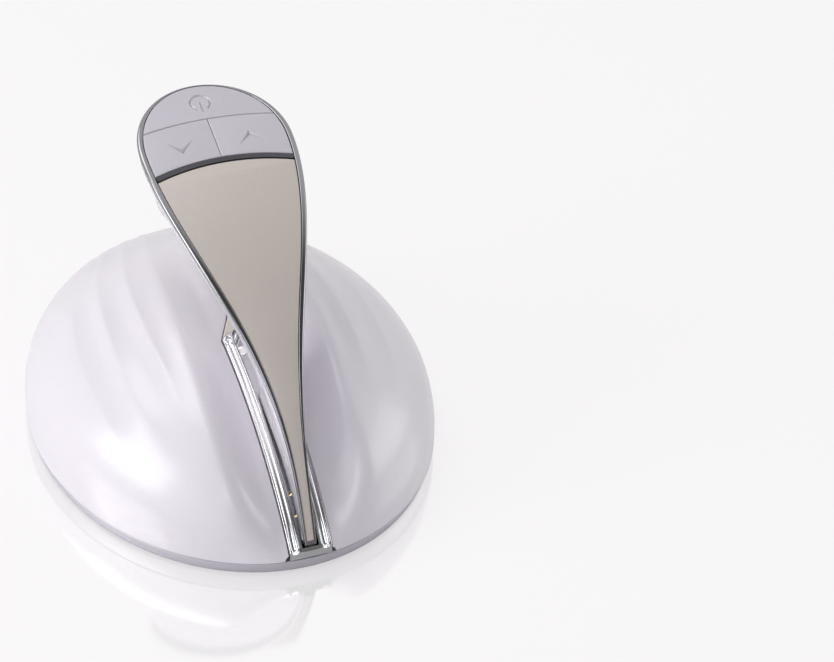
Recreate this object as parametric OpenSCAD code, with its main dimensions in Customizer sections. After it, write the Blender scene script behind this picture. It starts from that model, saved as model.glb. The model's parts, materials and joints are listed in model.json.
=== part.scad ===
// Facial toning device: a spoon-shaped handset that stands in the trough of an oval, shell-shaped dock.
// Millimetres. +Z up, origin on the table under the middle of the dock, -Y towards the user.

/* [Dock] */
// Width of the dock, left to right
base_w = 150; // [140:1:160]
// Length of the dock, front to back
base_l = 185; // [175:1:195]
// Height of the dome's crown above the table
crown_z = 62; // [58:0.5:66]
// Top of the grey base rim
rim_z = 6; // [5:0.1:7]
// How far the rim leans in at its foot
rim_lean = 1.3; // [0.5:0.1:2]
// Shadow gap between the rim and the dome
rim_gap = 0.3; // [0.2:0.05:0.5]
// How far the crown sits in front of the middle
crown_shift = 5; // [0:0.5:8]
// Nominal wall of the dome shell
dome_wall = 3; // [2.6:0.1:3.6]
// Height of each step in the shell-shaped dome
step_h = 1.4; // [0:0.1:1.8]
// Wall of the base tray
tray_wall = 2.2; // [1.8:0.1:2.6]

/* [Feet and fixings] */
// Height that the rubber feet stand proud of the tray
foot_proud = 0.8; // [0.5:0.1:1.2]
// Radius of a rubber foot
foot_r = 5.5; // [4:0.5:6.5]
// Radius of the dome screws' shanks
screw_r = 1.5; // [1.25:0.05:1.6]
// Radius of the small screws that hold boards and rings
small_screw_r = 0.8; // [0.6:0.05:0.9]
// Radial clearance of a screw or stem in its hole
hole_gap = 0.06; // [0.04:0.01:0.1]
// Radius of the dome's screw posts
post_r = 3.5; // [3.2:0.1:3.8]
// Running clearance between pieces that part or slide
fit_gap = 0.3; // [0.2:0.05:0.4]

/* [Trough] */
// Radius of the trough's lip, seen from the side
lip_r = 135; // [130:1:140]
// Steepness of the lip where it meets the dock's front
lip_front_angle = 43.3; // [42:0.1:45]
// Height of the lip above the rim at the dock's front
lip_front_h = 3.6; // [3:0.1:4.5]
// Half-width of the trough
trough_hw = 8; // [7.5:0.1:9]
// Half-width of the central channel
channel_hw = 3.7; // [3.5:0.05:4]
// Depth of the channel's floor below the lip
channel_d = 5.3; // [5:0.1:6]
// Thickness of the channel's floor
channel_floor = 3.2; // [2.6:0.1:4]
// Radius of the round scoops beside the channel
scoop_r = 1.9; // [1.6:0.05:2]

/* [Handset] */
// Radius of the handset's face, seen from the side
face_r = 175; // [170:1:185]
// Lean of the face from upright at the tail
tail_lean = 20.7; // [20:0.1:22]
// Length along the face from the tail to the head's middle
handle_run = 150.5; // [146:0.5:154]
// Half-width of the head
head_hw = 28.7; // [27.5:0.1:29.5]
// Reach of the head beyond its middle
head_up = 30.2; // [29:0.1:31]
// Half-width of the tail
tail_hw = 2.3; // [2.1:0.05:2.5]
// Depth of the chrome frame's side at the head
frame_d = 4.6; // [4:0.1:5.2]
// Width of the chrome frame on the face at the head
frame_w = 2.4; // [2:0.1:2.8]
// Depth of the handset's body behind its head
head_d = 22; // [21:0.5:24]
// Depth of the handset's body at its neck
neck_d = 19; // [17:0.5:21]
// Wall of the rear shell
shell_wall = 2; // [1.6:0.1:2.4]
// Thickness of the face panel and the key caps
cap_t = 1.8; // [1.5:0.1:2]
// Gap round keys and panel
trim_gap = 0.15; // [0.1:0.05:0.2]

/* [Keys] */
// Distance from the head's middle down to the chrome strip
strip_drop = 6.6; // [6:0.1:9]
// Width of the chrome strip
strip_w = 2; // [1.2:0.1:2.4]
// Radius of the strip's bow
strip_bow_r = 85; // [78:1:110]
// Distance from the strip up to the gap below the power key
power_rise = 19.1; // [18:0.1:20]
// Radius of the bow below the power key
power_bow_r = 120; // [100:5:180]
// Travel of a key
key_travel = 0.5; // [0.3:0.05:0.6]
// Radius of a key's post
key_post_r = 2; // [1.6:0.1:2.4]

/* [Treatment head] */
// Outer radius of the treatment ring
ring_r = 20; // [19:0.25:20.5]
// How far the treatment ring stands out of the rear shell
ring_proud = 8; // [6:0.5:10]
// Wall of the treatment ring
ring_wall = 2.4; // [2:0.1:2.8]
// Radius of the transducer disc
transducer_r = 12; // [10:0.5:13]
// Radius of the rechargeable cell
cell_r = 5; // [4.5:0.1:5.2]
// Length of the rechargeable cell
cell_l = 44; // [38:1:46]

/* [Charging] */
// Travel of a contact pin
pin_travel = 0.8; // [0.5:0.1:0.9]
// Radius of a contact pin's tip
pin_r = 0.9; // [0.8:0.05:1]
// Distance between the two contact pins along the channel
pin_pitch = 8; // [7:0.5:10]
// Inner radius of the power socket's mouth
socket_r = 2.75; // [2.5:0.05:3]

/* [Hidden] */
$fn = 48;
arc_fn = 240;
eps = 0.01;
far = 200;

// Where the lip line meets the dock's front edge, then the centre of its arc
front_y = -base_l / 2;
dome_z = rim_z + rim_gap;
lip_cy = front_y + lip_r * cos(lip_front_angle);
lip_cz = rim_z + lip_front_h - lip_r * sin(lip_front_angle);
seat_r = lip_r - channel_d;
keel_r = seat_r + fit_gap;
ridge_r = lip_r - 1;
cradle_r = seat_r - channel_floor;

// The face's arc: its tail tip stands just behind the dock's front edge
tail_back = 0.8;
tail_up = 2.3;
tail_y = front_y + tail_back;
tail_z = rim_z + lip_front_h + tail_up;
face_cy = tail_y + face_r * cos(tail_lean);
face_cz = tail_z - face_r * sin(tail_lean);
run_angle = handle_run / face_r * 180 / PI;
head_tilt = 90 - tail_lean - run_angle;
head_y = face_cy - face_r * sin(head_tilt);
head_z = face_cz + face_r * cos(head_tilt);
tail_u = -face_r * sin(run_angle);
tail_inset = 0.35;
seam_gap = 0.2;
side_taper = 2.9;

function clamp(v) = min(1, max(0, v));
function smooth(v) = let (t = clamp(v)) t * t * (3 - 2 * t);
function mix(a, b, t) = a + (b - a) * t;

// Joins rows of equal length into quads; the rows run round the solid or across it
function quads(rows, cols, at = 0) = [
    for (i = [0 : rows - 2], j = [0 : cols - 2])
        [at + i * cols + j, at + i * cols + j + 1, at + (i + 1) * cols + j + 1, at + (i + 1) * cols + j]];

// ---------- dock ----------

module oval(inset = 0) {
    scale([base_w / 2 - inset, base_l / 2 - inset]) circle(r = 1, $fn = 96);
}

// Round boards and posts stand on smaller ovals
function on_oval(share, angle) = [base_w / 2 * share * cos(angle), base_l / 2 * share * sin(angle)];
post_share = 0.925;
post_angles = [35, 145, 215, 325];
foot_share = 0.74;
foot_angles = [48, 132, 228, 312];
post_top = 18;
screw_l = 10;
head_h = 1.8;
foot_sunk = 1;

module at_posts() {
    for (a = post_angles) translate(concat(on_oval(post_share, a), 0)) children();
}

module base_tray() {
    lip_out = dome_wall + fit_gap + 0.4;
    lip_t = 1.4;
    color("#b9b7be") difference() {
        union() {
            difference() {
                translate([0, 0, foot_proud])
                    linear_extrude(height = rim_z - foot_proud, slices = 1,
                                   scale = [base_w / (base_w - 2 * rim_lean), base_l / (base_l - 2 * rim_lean)])
                        oval(rim_lean);
                translate([0, 0, foot_proud + tray_wall]) linear_extrude(height = far) oval(lip_out + lip_t);
            }
            // locating lip inside the dome, cut away round its posts and the trough
            difference() {
                translate([0, 0, rim_z - 1]) linear_extrude(height = 3.6) difference() {
                    oval(lip_out);
                    oval(lip_out + lip_t);
                }
                at_posts() translate([0, 0, rim_z]) cylinder(r = post_r + 1, h = far);
                translate([-trough_hw - 1, front_y - 1, rim_z]) cube([2 * trough_hw + 2, 14, far]);
            }
            // screw bosses under the dome's posts, and pillars under the charge board
            at_posts() translate([0, 0, foot_proud + eps]) cylinder(r = post_r, h = rim_z - foot_proud - eps);
            for (x = board_pillars[0], y = board_pillars[1])
                translate([x, y, foot_proud + eps]) cylinder(r = 2.5, h = board_z - foot_proud - eps);
        }
        at_posts() {
            translate([0, 0, -1]) cylinder(r = screw_r + hole_gap, h = far);
            translate([0, 0, -1]) cylinder(r = 2 * screw_r + 0.1, h = 1 + foot_proud + head_h);
        }
        for (a = foot_angles) translate(concat(on_oval(foot_share, a), -1))
            cylinder(r = foot_r + 0.1, h = 1 + foot_proud + foot_sunk);
        for (x = board_pillars[0], y = board_pillars[1])
            translate([x, y, foot_proud + tray_wall]) cylinder(r = small_screw_r + hole_gap, h = far);
    }
}

module rubber_feet() {
    color("#55555a") for (a = foot_angles) translate(concat(on_oval(foot_share, a), 0)) {
        cylinder(r1 = foot_r - 0.4, r2 = foot_r, h = 0.4);
        translate([0, 0, 0.4]) cylinder(r = foot_r, h = foot_proud + foot_sunk - 0.4);
    }
}

module base_screws() {
    color("#9a9aa0") at_posts() translate([0, 0, foot_proud]) difference() {
        union() {
            cylinder(r = 2 * screw_r, h = head_h);
            translate([0, 0, head_h]) cylinder(r = screw_r, h = screw_l);
        }
        for (a = [0, 90]) rotate([0, 0, a]) translate([-screw_r, -0.3, -1]) cube([2 * screw_r, 0.6, 2]);
    }
}

ballast_t = 3;
ballast_w = 0.56 * base_w;
ballast_l = 0.52 * base_l;
module ballast_plate() {
    color("#7c7f84") translate([0, -8, foot_proud + tray_wall])
        linear_extrude(height = ballast_t) scale([ballast_w / 2, ballast_l / 2]) circle(r = 1, $fn = 60);
}

board_z = 8;
board_t = 1.6;
board_w = 40;
board_l = 30;
board_y = base_l / 2 - 34.5;
board_pillars = [[-16, 16], [board_y - 10, board_y + 10]];
module charge_board() {
    color("#2f6b46") translate([0, board_y, board_z]) difference() {
        union() {
            translate([-board_w / 2, -board_l / 2, 0]) cube([board_w, board_l, board_t]);
            translate([-12, -9, board_t]) cube([7, 7, 1.6]);
            translate([4, -10, board_t]) cube([9, 6, 3.2]);
            translate([9, 6, board_t]) cylinder(r = 2.5, h = 6);
        }
        for (x = board_pillars[0], y = [-10, 10]) translate([x, y, -1]) cylinder(r = 1, h = 4);
    }
}

// Barrel socket whose mouth is flush with the dome's back
socket_z = board_z + board_t + 4.6;
socket_body = 9.2;
module power_socket() {
    back_y = base_l / 2 - 1.6;
    nose_r = socket_r + 1.2;
    body_y = board_y + board_l / 2 - 4;
    color("#2b2b2e") difference() {
        union() {
            translate([-socket_body / 2, body_y, board_z + board_t])
                cube([socket_body, 13.5, socket_body]);
            translate([0, body_y + 13, socket_z]) rotate([-90, 0, 0]) cylinder(r = nose_r, h = back_y - body_y - 13);
        }
        translate([0, body_y + 3, socket_z]) rotate([-90, 0, 0]) difference() {
            cylinder(r = socket_r, h = far);
            cylinder(r = 0.95, h = back_y - body_y - 4.5);
        }
    }
}

// The dome as heights over the oval. Its edges stand upright and its crown is nearly flat.
dome_h = crown_z - dome_z;
edge_power = 1 / 2.37;
plan_power = 1.64;
function oval_half(y) = base_w / 2 * sqrt(max(0, 1 - pow(2 * y / base_l, 2)));
function off_middle(x, y) =
    let (flat = norm([2 * x / base_w, 2 * y / base_l]), lean = crown_shift * (1 - flat * flat))
    min(1, norm([2 * x / base_w, 2 * (y + lean) / base_l]));
function crown(x, y) = dome_h * pow(1 - pow(off_middle(x, y), plan_power), edge_power);

// A valley sinks from the crown to the trough's lip and fades out behind it
valley_hw = 28;
function lip_h(y) = lip_cz - dome_z + sqrt(lip_r * lip_r - pow(y - lip_cy, 2));
function valley(y) = let (top = crown(0, y))
    top <= 0 ? 0 : max(0, 1 - lip_h(y) / top) * (1 - smooth((y + 10) / 60));
function dome_at(x, y) = crown(x, y)
    * (1 - valley(y) * (1 - smooth((abs(x) - trough_hw) / (valley_hw - trough_hw))));

// Steps of the shell shape, as distances from the middle line, left and right
left_steps = [21.5, 34, 46, 57.5];
right_steps = [28.5, 39, 52];
step_front = -60;
step_back = 55;
function step_share(y) = let (v = min(step_back, max(step_front, y)))
    sqrt(1 - pow((v + 15) / 100, 2)) / (oval_half(v) * 2 / base_w);
function step_fade(y) = smooth((y + 62) / 38);
function step_x(d, y) = d / 75 * step_share(y) * oval_half(y);

// Columns across the dome: [distance from the middle at y, share of the step's height]
function columns(steps, y, n) = let (
        hw = oval_half(y),
        slot = min(trough_hw + fit_gap, 0.6 * step_x(steps[0], y)),
        edges = concat([slot], [for (d = steps) step_x(d, y)]),
        last = len(edges) - 1)
    concat(
        [for (i = [1 : n]) [slot * i / n, 0]],
        [for (k = [0 : last - 1], i = [0 : n])
            let (t = i == 0 ? (k == 0 ? 0.12 : 0.02) : i / n)
            [mix(edges[k], edges[k + 1], i == n ? 0.99 : t), pow(t, 1.5)]],
        [for (i = [0 : 2 * n]) [mix(edges[last], hw, i == 0 ? 0.01 : sin(90 * i / (2 * n))), 0]]);

function dome_point(x, y, part, steps_on) = let (
        z = dome_at(x, y),
        cut = steps_on * step_h * part * step_fade(y) * smooth(z / 12) / max(1, norm([x, z])))
    [x * (1 - cut), y, z * (1 - cut)];

function dome_row(y, n, steps_on) = let (
        left = columns(left_steps, y, n), right = columns(right_steps, y, n))
    concat(
        [for (i = [len(left) - 1 : -1 : 0]) dome_point(-left[i][0], y, left[i][1], steps_on)],
        [dome_point(0, y, 0, steps_on)],
        [for (c = right) dome_point(c[0], y, c[1], steps_on)]);

// A closed solid under the dome's surface, its flat bottom sunk by drop
module dome_solid(rows, n, steps_on = 1, drop = 0) {
    ys = [for (i = [1 : rows - 1]) -base_l / 2 * cos(180 * i / rows)];
    grid = [for (y = ys) dome_row(y, n, steps_on)];
    cols = len(grid[0]);
    sunk = [for (row = grid) [for (j = [0 : cols - 1])
        j == 0 || j == cols - 1 ? [row[j][0], row[j][1], -drop] : row[j]]];
    points = concat([for (row = sunk) each row], [[0, front_y, -drop], [0, -front_y, -drop]]);
    m = rows - 1;
    front = m * cols;
    back = front + 1;
    faces = concat(
        [for (q = quads(m, cols)) each [[q[0], q[3], q[2]], [q[0], q[2], q[1]]]],
        [for (j = [0 : cols - 2]) [front, j, j + 1]],
        [for (j = [0 : cols - 2]) [back, (m - 1) * cols + j + 1, (m - 1) * cols + j]],
        [concat([front], [for (i = [0 : m - 1]) i * cols + cols - 1], [back],
                [for (i = [m - 1 : -1 : 0]) i * cols])]);
    polyhedron(points, faces, convexity = 6);
}

// The trough's outline from above, blunt-ended behind
trough_l = 88.5;
trough_back = front_y + trough_l;
trough_taper = 12.6;
tip_hw = 0.2 * trough_hw;
module trough_plan(grow = 0) {
    polygon([[-trough_hw - grow, front_y - 5], [trough_hw + grow, front_y - 5],
             [trough_hw + grow, trough_back - trough_taper], [tip_hw + grow, trough_back + grow],
             [-tip_hw - grow, trough_back + grow], [-trough_hw - grow, trough_back - trough_taper]]);
}

module dome_shell() {
    color("#e4e2ea") difference() {
        translate([0, 0, dome_z]) dome_solid(44, 3);
        union() {
            difference() {
                translate([0, 0, dome_z])
                    scale([1 - 2 * dome_wall / base_w, 1 - 2 * dome_wall / base_l, 1 - dome_wall / dome_h])
                        dome_solid(24, 2, 0, 1);
                at_posts() difference() {
                    cylinder(r = post_r, h = post_top);
                    cylinder(r = screw_r + hole_gap, h = dome_z + screw_l);
                }
            }
            translate([0, 0, dome_z - 1]) linear_extrude(height = far) trough_plan(fit_gap);
            translate([0, base_l / 2 - 12, socket_z]) rotate([-90, 0, 0])
                cylinder(r = socket_r + 1.2 + fit_gap, h = 20);
        }
    }
}

// Places children at a radius and angle on the trough's arc, their +Z pointing out of it
module on_trough(r, angle) {
    translate([0, lip_cy - r * cos(angle), lip_cz + r * sin(angle)]) rotate([90 - angle, 0, 0]) children();
}

module lip_ring(inner, outer, hw) {
    translate([0, lip_cy, lip_cz]) rotate([0, 90, 0]) difference() {
        cylinder(r = outer, h = 2 * hw, center = true, $fn = arc_fn);
        cylinder(r = inner, h = 2 * hw + 1, center = true, $fn = arc_fn);
    }
}

// A groove of round section along the trough's arc, between two angles, with round ends
module round_groove(x, r, groove_r, from, to) {
    translate([x, lip_cy, lip_cz]) rotate([0, 90, 0]) rotate([0, 0, 180 + from])
        rotate_extrude(angle = to - from, $fn = arc_fn) translate([r, 0]) circle(r = groove_r, $fn = 32);
    for (a = [from, to]) translate([x, 0, 0]) on_trough(r, a) sphere(r = groove_r, $fn = 32);
}

// A square groove with round ends in plan
module flat_groove(hw, from, to) {
    intersection() {
        lip_ring(seat_r, lip_r + 5, hw);
        front = lip_cy - lip_r * cos(from) + hw;
        back = lip_cy - lip_r * cos(to) - hw;
        linear_extrude(height = far) {
            translate([-hw, front]) square([2 * hw, back - front]);
            translate([0, front]) circle(r = hw);
            translate([0, back]) circle(r = hw);
        }
    }
}

scoop_x = trough_hw - 0.35 - scoop_r;
scoop_front = lip_front_angle + 0.65;
scoop_back = lip_front_angle + 37;
channel_front = lip_front_angle + 3;
channel_back = lip_front_angle + 39;
tail_slot_hw = tail_hw + 0.8;
tail_slot_l = 12;
tail_slot_front = lip_front_angle + 0.6;
pin_front_angle = lip_front_angle + 6;
pin_step_angle = pin_pitch / seat_r * 180 / PI;
pin_angles = [pin_front_angle, pin_front_angle + pin_step_angle];
cradle_screw_angles = [pin_angles[1] + 7, lip_front_angle + 34];

module cradle() {
    color("#c8cad0") difference() {
        intersection() {
            lip_ring(cradle_r, lip_r, trough_hw);
            translate([0, 0, dome_z]) linear_extrude(height = far) intersection() {
                trough_plan();
                oval();
            }
        }
        for (s = [-1, 1]) round_groove(s * scoop_x, lip_r - 0.3, scoop_r, scoop_front, scoop_back);
        flat_groove(channel_hw, channel_front, channel_back);
        intersection() {
            lip_ring(seat_r, lip_r + 5, tail_slot_hw);
            translate([-far / 2, lip_cy - lip_r * cos(tail_slot_front), 0]) cube([far, tail_slot_l, far]);
        }
        for (a = pin_angles) on_trough(0, a) cylinder(r = pin_r + hole_gap, h = far);
        for (a = cradle_screw_angles) on_trough(cradle_r - 1, a)
            cylinder(r = small_screw_r + hole_gap, h = 1 + channel_floor - 0.8);
    }
}

// These hold the pin carrier's strap under the cradle
module cradle_screws() {
    color("#9a9aa0") for (a = cradle_screw_angles) on_trough(cradle_r, a) {
        translate([0, 0, -strap_t - 1.22]) cylinder(r = 2 * small_screw_r, h = 1.2);
        translate([0, 0, -strap_t]) cylinder(r = small_screw_r, h = strap_t + channel_floor - 1);
    }
}

// Carrier under the channel: holds the sprung pins, and its strap runs up to the rear screw
strap_t = 1.6;
carrier_d = 7;
collar_h = 1;
collar_r = pin_r + 0.45;
stem_r = 0.55;
collar_drop = 1.1;
pocket_d = 5.4;
module pin_carrier() {
    hw = 4.5;
    color("#3a3a3e") difference() {
        union() {
            intersection() {
                lip_ring(cradle_r - carrier_d, cradle_r, hw);
                on_trough(0, (pin_angles[0] + pin_angles[1]) / 2)
                    translate([-far / 2, -pin_pitch, 0]) cube([far, 2 * pin_pitch, far]);
            }
            intersection() {
                lip_ring(cradle_r - strap_t, cradle_r, hw);
                y0 = lip_cy - cradle_r * cos(pin_angles[0]);
                y1 = lip_cy - cradle_r * cos(cradle_screw_angles[1] + 2);
                translate([-hw, y0, 0]) cube([2 * hw, y1 - y0, far]);
            }
        }
        for (a = pin_angles) on_trough(cradle_r, a) {
            translate([0, 0, -carrier_d - 3]) cylinder(r = stem_r + hole_gap, h = far);
            translate([0, 0, -pocket_d]) cylinder(r = collar_r + 0.2, h = far);
        }
        for (a = cradle_screw_angles) on_trough(cradle_r - 2 * carrier_d, a)
            cylinder(r = small_screw_r + hole_gap, h = far);
        // the low front corner stays clear of the tray
        translate([-far / 2, -far, -far]) cube([far, 2 * far, far + foot_proud + tray_wall + 0.3]);
    }
}

module contact_pin(a) {
    color("#d8b25a") on_trough(cradle_r, a) {
        translate([0, 0, -collar_drop]) cylinder(r = pin_r, h = collar_drop + channel_floor + fit_gap - 0.1);
        translate([0, 0, -collar_drop - collar_h]) cylinder(r = collar_r, h = collar_h);
        translate([0, 0, -collar_drop - collar_h - 3.6]) cylinder(r = stem_r, h = 3.6);
    }
}
module contact_pin_front() { contact_pin(pin_angles[0]); }
module contact_pin_rear() { contact_pin(pin_angles[1]); }

// Each spring is drawn as long as it is when its pin is pressed home
module pin_springs() {
    spring_h = pocket_d - collar_drop - collar_h - pin_travel - 0.1;
    color("#b8b8bc") for (a = pin_angles) on_trough(cradle_r - pocket_d, a) difference() {
        cylinder(r = collar_r, h = spring_h);
        translate([0, 0, -1]) cylinder(r = stem_r + 0.25, h = far);
    }
}

// ---------- handset ----------
// Everything is drawn at the head: X across, Y towards the head's end, Z out of the face.
// The face's arc is centred at [0, -face_r] there, and the tail lies at y = tail_u.

module at_head() { translate([0, head_y, head_z]) rotate([head_tilt, 0, 0]) children(); }

function run_share(u) = clamp(1 - asin(clamp(-u / face_r)) / run_angle);
function half_w(u) = u >= 0 ? head_hw * sqrt(max(0, 1 - pow(u / head_up, 2)))
    : tail_hw + (head_hw - tail_hw) * pow(smooth(run_share(u)), 1.55);
// Trim is narrower towards the tail, and at the head's end
function inset_at(u, inset) = inset * mix(tail_inset, 1, smooth(2 * run_share(u) - 0.2));
top_inset = 0.35;

module face_outline(inset = 0, n = 26) {
    tail = tail_u + inset_at(tail_u, inset);
    round_n = 20;
    us = [for (i = [1 : n]) tail * i / n];
    side = [for (u = us) [half_w(u) - inset_at(u, inset), u]];
    polygon(concat(
        [for (i = [0 : round_n]) [(head_hw - inset) * cos(180 * i / round_n), (head_up - top_inset * inset) * sin(180 * i / round_n)]],
        [for (p = side) [-p[0], p[1]]],
        [for (i = [n - 1 : -1 : 0]) side[i]]));
}

module face_cylinder(depth, hw = 40, shift = 0) {
    translate([0, shift, -face_r]) rotate([0, 90, 0])
        cylinder(r = face_r - depth, h = 2 * hw, center = true, $fn = arc_fn);
}

// What lies between two depths below the face; a taper makes it thinner towards the tail
module face_layer(top, bottom, taper = 0) {
    intersection() {
        translate([0, 0, -far + 20]) linear_extrude(height = far) children();
        difference() {
            face_cylinder(top);
            face_cylinder(bottom, 42, -taper);
        }
    }
}

module strip_disc(grow) { translate([0, -strip_drop - strip_bow_r]) circle(r = strip_bow_r + grow, $fn = arc_fn); }
module power_disc(grow) {
    translate([0, -strip_drop + power_rise - power_bow_r]) circle(r = power_bow_r + grow, $fn = arc_fn);
}

// Chrome frame: a ring on the face over a wider ledge, lower under the keys than under the panel
ledge_w = 1.4;
panel_t = 1.6;
module ledge_outline() {
    difference() {
        face_outline(frame_w - eps);
        face_outline(frame_w + ledge_w);
    }
}
module side_frame() {
    color("#9b9da3") at_head() {
        face_layer(0, frame_d, side_taper) difference() {
            face_outline();
            face_outline(frame_w);
        }
        face_layer(cap_t + key_travel + 0.3, frame_d, side_taper) difference() {
            ledge_outline();
            strip_disc(-strip_w / 2 - 2 * trim_gap);
        }
        face_layer(panel_t + fit_gap, frame_d, side_taper) intersection() {
            ledge_outline();
            strip_disc(-strip_w / 2 - trim_gap);
        }
    }
}

module face_panel() {
    color("#c3b5a7") at_head() face_layer(0.15, 0.15 + panel_t) intersection() {
        face_outline(frame_w + trim_gap);
        strip_disc(-strip_w / 2 - trim_gap);
    }
}

module key_strip() {
    color("#6f7177") at_head() face_layer(0.05, cap_t + 0.3) intersection() {
        face_outline(frame_w + trim_gap);
        difference() {
            strip_disc(strip_w / 2);
            strip_disc(-strip_w / 2);
        }
    }
}

module key_zone() {
    difference() {
        face_outline(frame_w + trim_gap);
        strip_disc(strip_w / 2 + trim_gap);
    }
}

// Inner stack, as heights below the face at the head's middle
switch_gap = key_travel + 0.15;
post_tip = -3.9;
plunger_h = 0.65;
switch_h = 3;
switch_w = 6;
board_top = post_tip - switch_gap - plunger_h - switch_h;
pcb_t = 1.2;
plate_top = board_top - pcb_t;
plate_t = 1.5;
key_x = 12.5;
low_key_u = 2;
power_key_u = 15;
key_spots = [[0, power_key_u], [-key_x, low_key_u], [key_x, low_key_u]];

module key_cap(spot) {
    color("#c6c5ce") at_head() {
        face_layer(0, cap_t) children();
        intersection() {
            translate([spot[0], spot[1], post_tip]) cylinder(r = key_post_r, h = far);
            face_cylinder(cap_t - 0.2);
        }
    }
}

module power_key() {
    key_cap(key_spots[0]) difference() {
        key_zone();
        power_disc(trim_gap);
    }
}
module low_key(spot, side) {
    key_cap(spot) intersection() {
        key_zone();
        power_disc(-trim_gap);
        translate([side > 0 ? trim_gap : -far - trim_gap, -far / 2]) square([far, far]);
    }
}
module down_key() { low_key(key_spots[1], -1); }
module up_key() { low_key(key_spots[2], 1); }

module tact_switches() {
    color("#8d8f94") at_head() for (p = key_spots) translate([p[0], p[1], board_top]) {
        translate([-switch_w / 2, -switch_w / 2, 0]) cube([switch_w, switch_w, switch_h]);
        cylinder(r = 1.6, h = switch_h + plunger_h);
    }
}

board_r = 21;
board_screw_r = 18.5;
board_screw_angles = [150, 30, 270];
function board_spot(a) = [board_screw_r * cos(a), board_screw_r * sin(a)];

module key_board() {
    color("#2f6b46") at_head() translate([0, 0, plate_top]) difference() {
        cylinder(r = board_r, h = pcb_t);
        for (a = board_screw_angles) translate(concat(board_spot(a), -1))
            cylinder(r = small_screw_r + hole_gap, h = far);
    }
}

module board_screws() {
    color("#9a9aa0") at_head() for (a = board_screw_angles) translate(concat(board_spot(a), board_top)) {
        cylinder(r = 2 * small_screw_r, h = 1);
        translate([0, 0, -pcb_t - plate_t]) cylinder(r = small_screw_r, h = pcb_t + plate_t);
    }
}

column_r = 2.4;
column_spot_r = 14.4;
column_angles = [0, 90, 180];
shell_bottom = -head_d;
ring_top = shell_bottom + 6.5;
ring_bottom = shell_bottom - ring_proud;
ring_ledge_t = 1.5;
ring_screw_l = 3;
main_top = plate_top - plate_t - 1.6;
function column_spot(a) = [column_spot_r * cos(a), column_spot_r * sin(a)];

// Moulded chassis: a plate under the key board with columns down to the treatment ring
module mid_frame() {
    color("#d9d8dc") at_head() translate([0, 0, plate_top - plate_t]) difference() {
        union() {
            cylinder(r = board_r + 1, h = plate_t);
            for (a = column_angles) translate(concat(column_spot(a), ring_top - plate_top + plate_t))
                cylinder(r = column_r, h = plate_top - ring_top - plate_t + eps);
            for (a = column_angles) translate(concat(column_spot(a), main_top - plate_top + plate_t))
                cylinder(r = column_r + 1, h = plate_top - plate_t - main_top + eps);
        }
        translate([0, 0, -1]) cylinder(r = 9, h = far);
        for (a = board_screw_angles) translate(concat(board_spot(a), -1))
            cylinder(r = small_screw_r + hole_gap, h = far);
        for (a = column_angles) translate(concat(column_spot(a), ring_top - plate_top + plate_t - 1))
            cylinder(r = small_screw_r + hole_gap, h = 1 + ring_screw_l + 0.3);
    }
}

module main_board() {
    color("#2f6b46") at_head() translate([0, 0, main_top - pcb_t]) difference() {
        union() {
            cylinder(r = board_r - 2, h = pcb_t);
            translate([-4, 4, -1.4]) cube([8, 7, 1.5]);
            translate([-9, -14, -1.4]) cube([10, 5, 1.5]);
        }
        for (a = column_angles) translate(concat(column_spot(a), -1)) cylinder(r = column_r + 0.15, h = far);
    }
}

motor_r = 5;
module vibration_motor() {
    color("#a9abb0") at_head() translate([0, -2.5, main_top - pcb_t - 2.8]) cylinder(r = motor_r, h = 2.8);
}

module treatment_ring() {
    color("#c8cad0") at_head() difference() {
        translate([0, 0, ring_bottom]) union() {
            translate([0, 0, 1]) cylinder(r = ring_r, h = ring_top - ring_bottom - 1);
            cylinder(r1 = ring_r - 1, r2 = ring_r, h = 1);
        }
        translate([0, 0, ring_bottom - 1]) cylinder(r = ring_r - ring_wall, h = 1 + seat_step);
        translate([0, 0, ring_bottom - 1])
            cylinder(r = ring_r - ring_wall - 1.4, h = ring_top - ring_bottom - ring_ledge_t + 1);
        translate([0, 0, ring_top - ring_ledge_t - 1]) cylinder(r = column_spot_r - 2.6, h = far);
        for (a = column_angles) translate(concat(column_spot(a), ring_top - ring_ledge_t - 1))
            cylinder(r = small_screw_r + hole_gap, h = far);
    }
}

module ring_screws() {
    color("#9a9aa0") at_head() for (a = column_angles) translate(concat(column_spot(a), ring_top - ring_ledge_t)) {
        translate([0, 0, -1]) cylinder(r = 2 * small_screw_r, h = 1);
        cylinder(r = small_screw_r, h = ring_ledge_t + ring_screw_l);
    }
}

// The electrode is a dished disc in the ring's mouth, sealed by a soft ring behind its rim
seat_step = 2.6;
seal_t = 1.2;
dish_r = 80;
plate_rim = 1.2;
module plate_seal() {
    color("#77777c") at_head() translate([0, 0, ring_bottom + seat_step - seal_t]) difference() {
        cylinder(r = ring_r - ring_wall - 0.1, h = seal_t);
        translate([0, 0, -1]) cylinder(r = ring_r - ring_wall - 1.4, h = far);
    }
}
module electrode_plate() {
    r = ring_r - ring_wall - 0.1;
    rise = dish_r - sqrt(dish_r * dish_r - r * r);
    color("#d9d3c6") at_head() translate([0, 0, ring_bottom + seat_step - seal_t]) {
        translate([0, 0, -plate_rim]) cylinder(r = r, h = plate_rim);
        intersection() {
            translate([0, 0, -plate_rim - rise]) cylinder(r = r, h = rise + 0.1);
            translate([0, 0, dish_r - plate_rim - rise]) sphere(r = dish_r, $fn = 120);
        }
    }
}
module transducer() {
    color("#cfcac0") at_head() translate([0, 0, ring_bottom + seat_step - seal_t])
        cylinder(r = transducer_r, h = 3);
}

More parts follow.
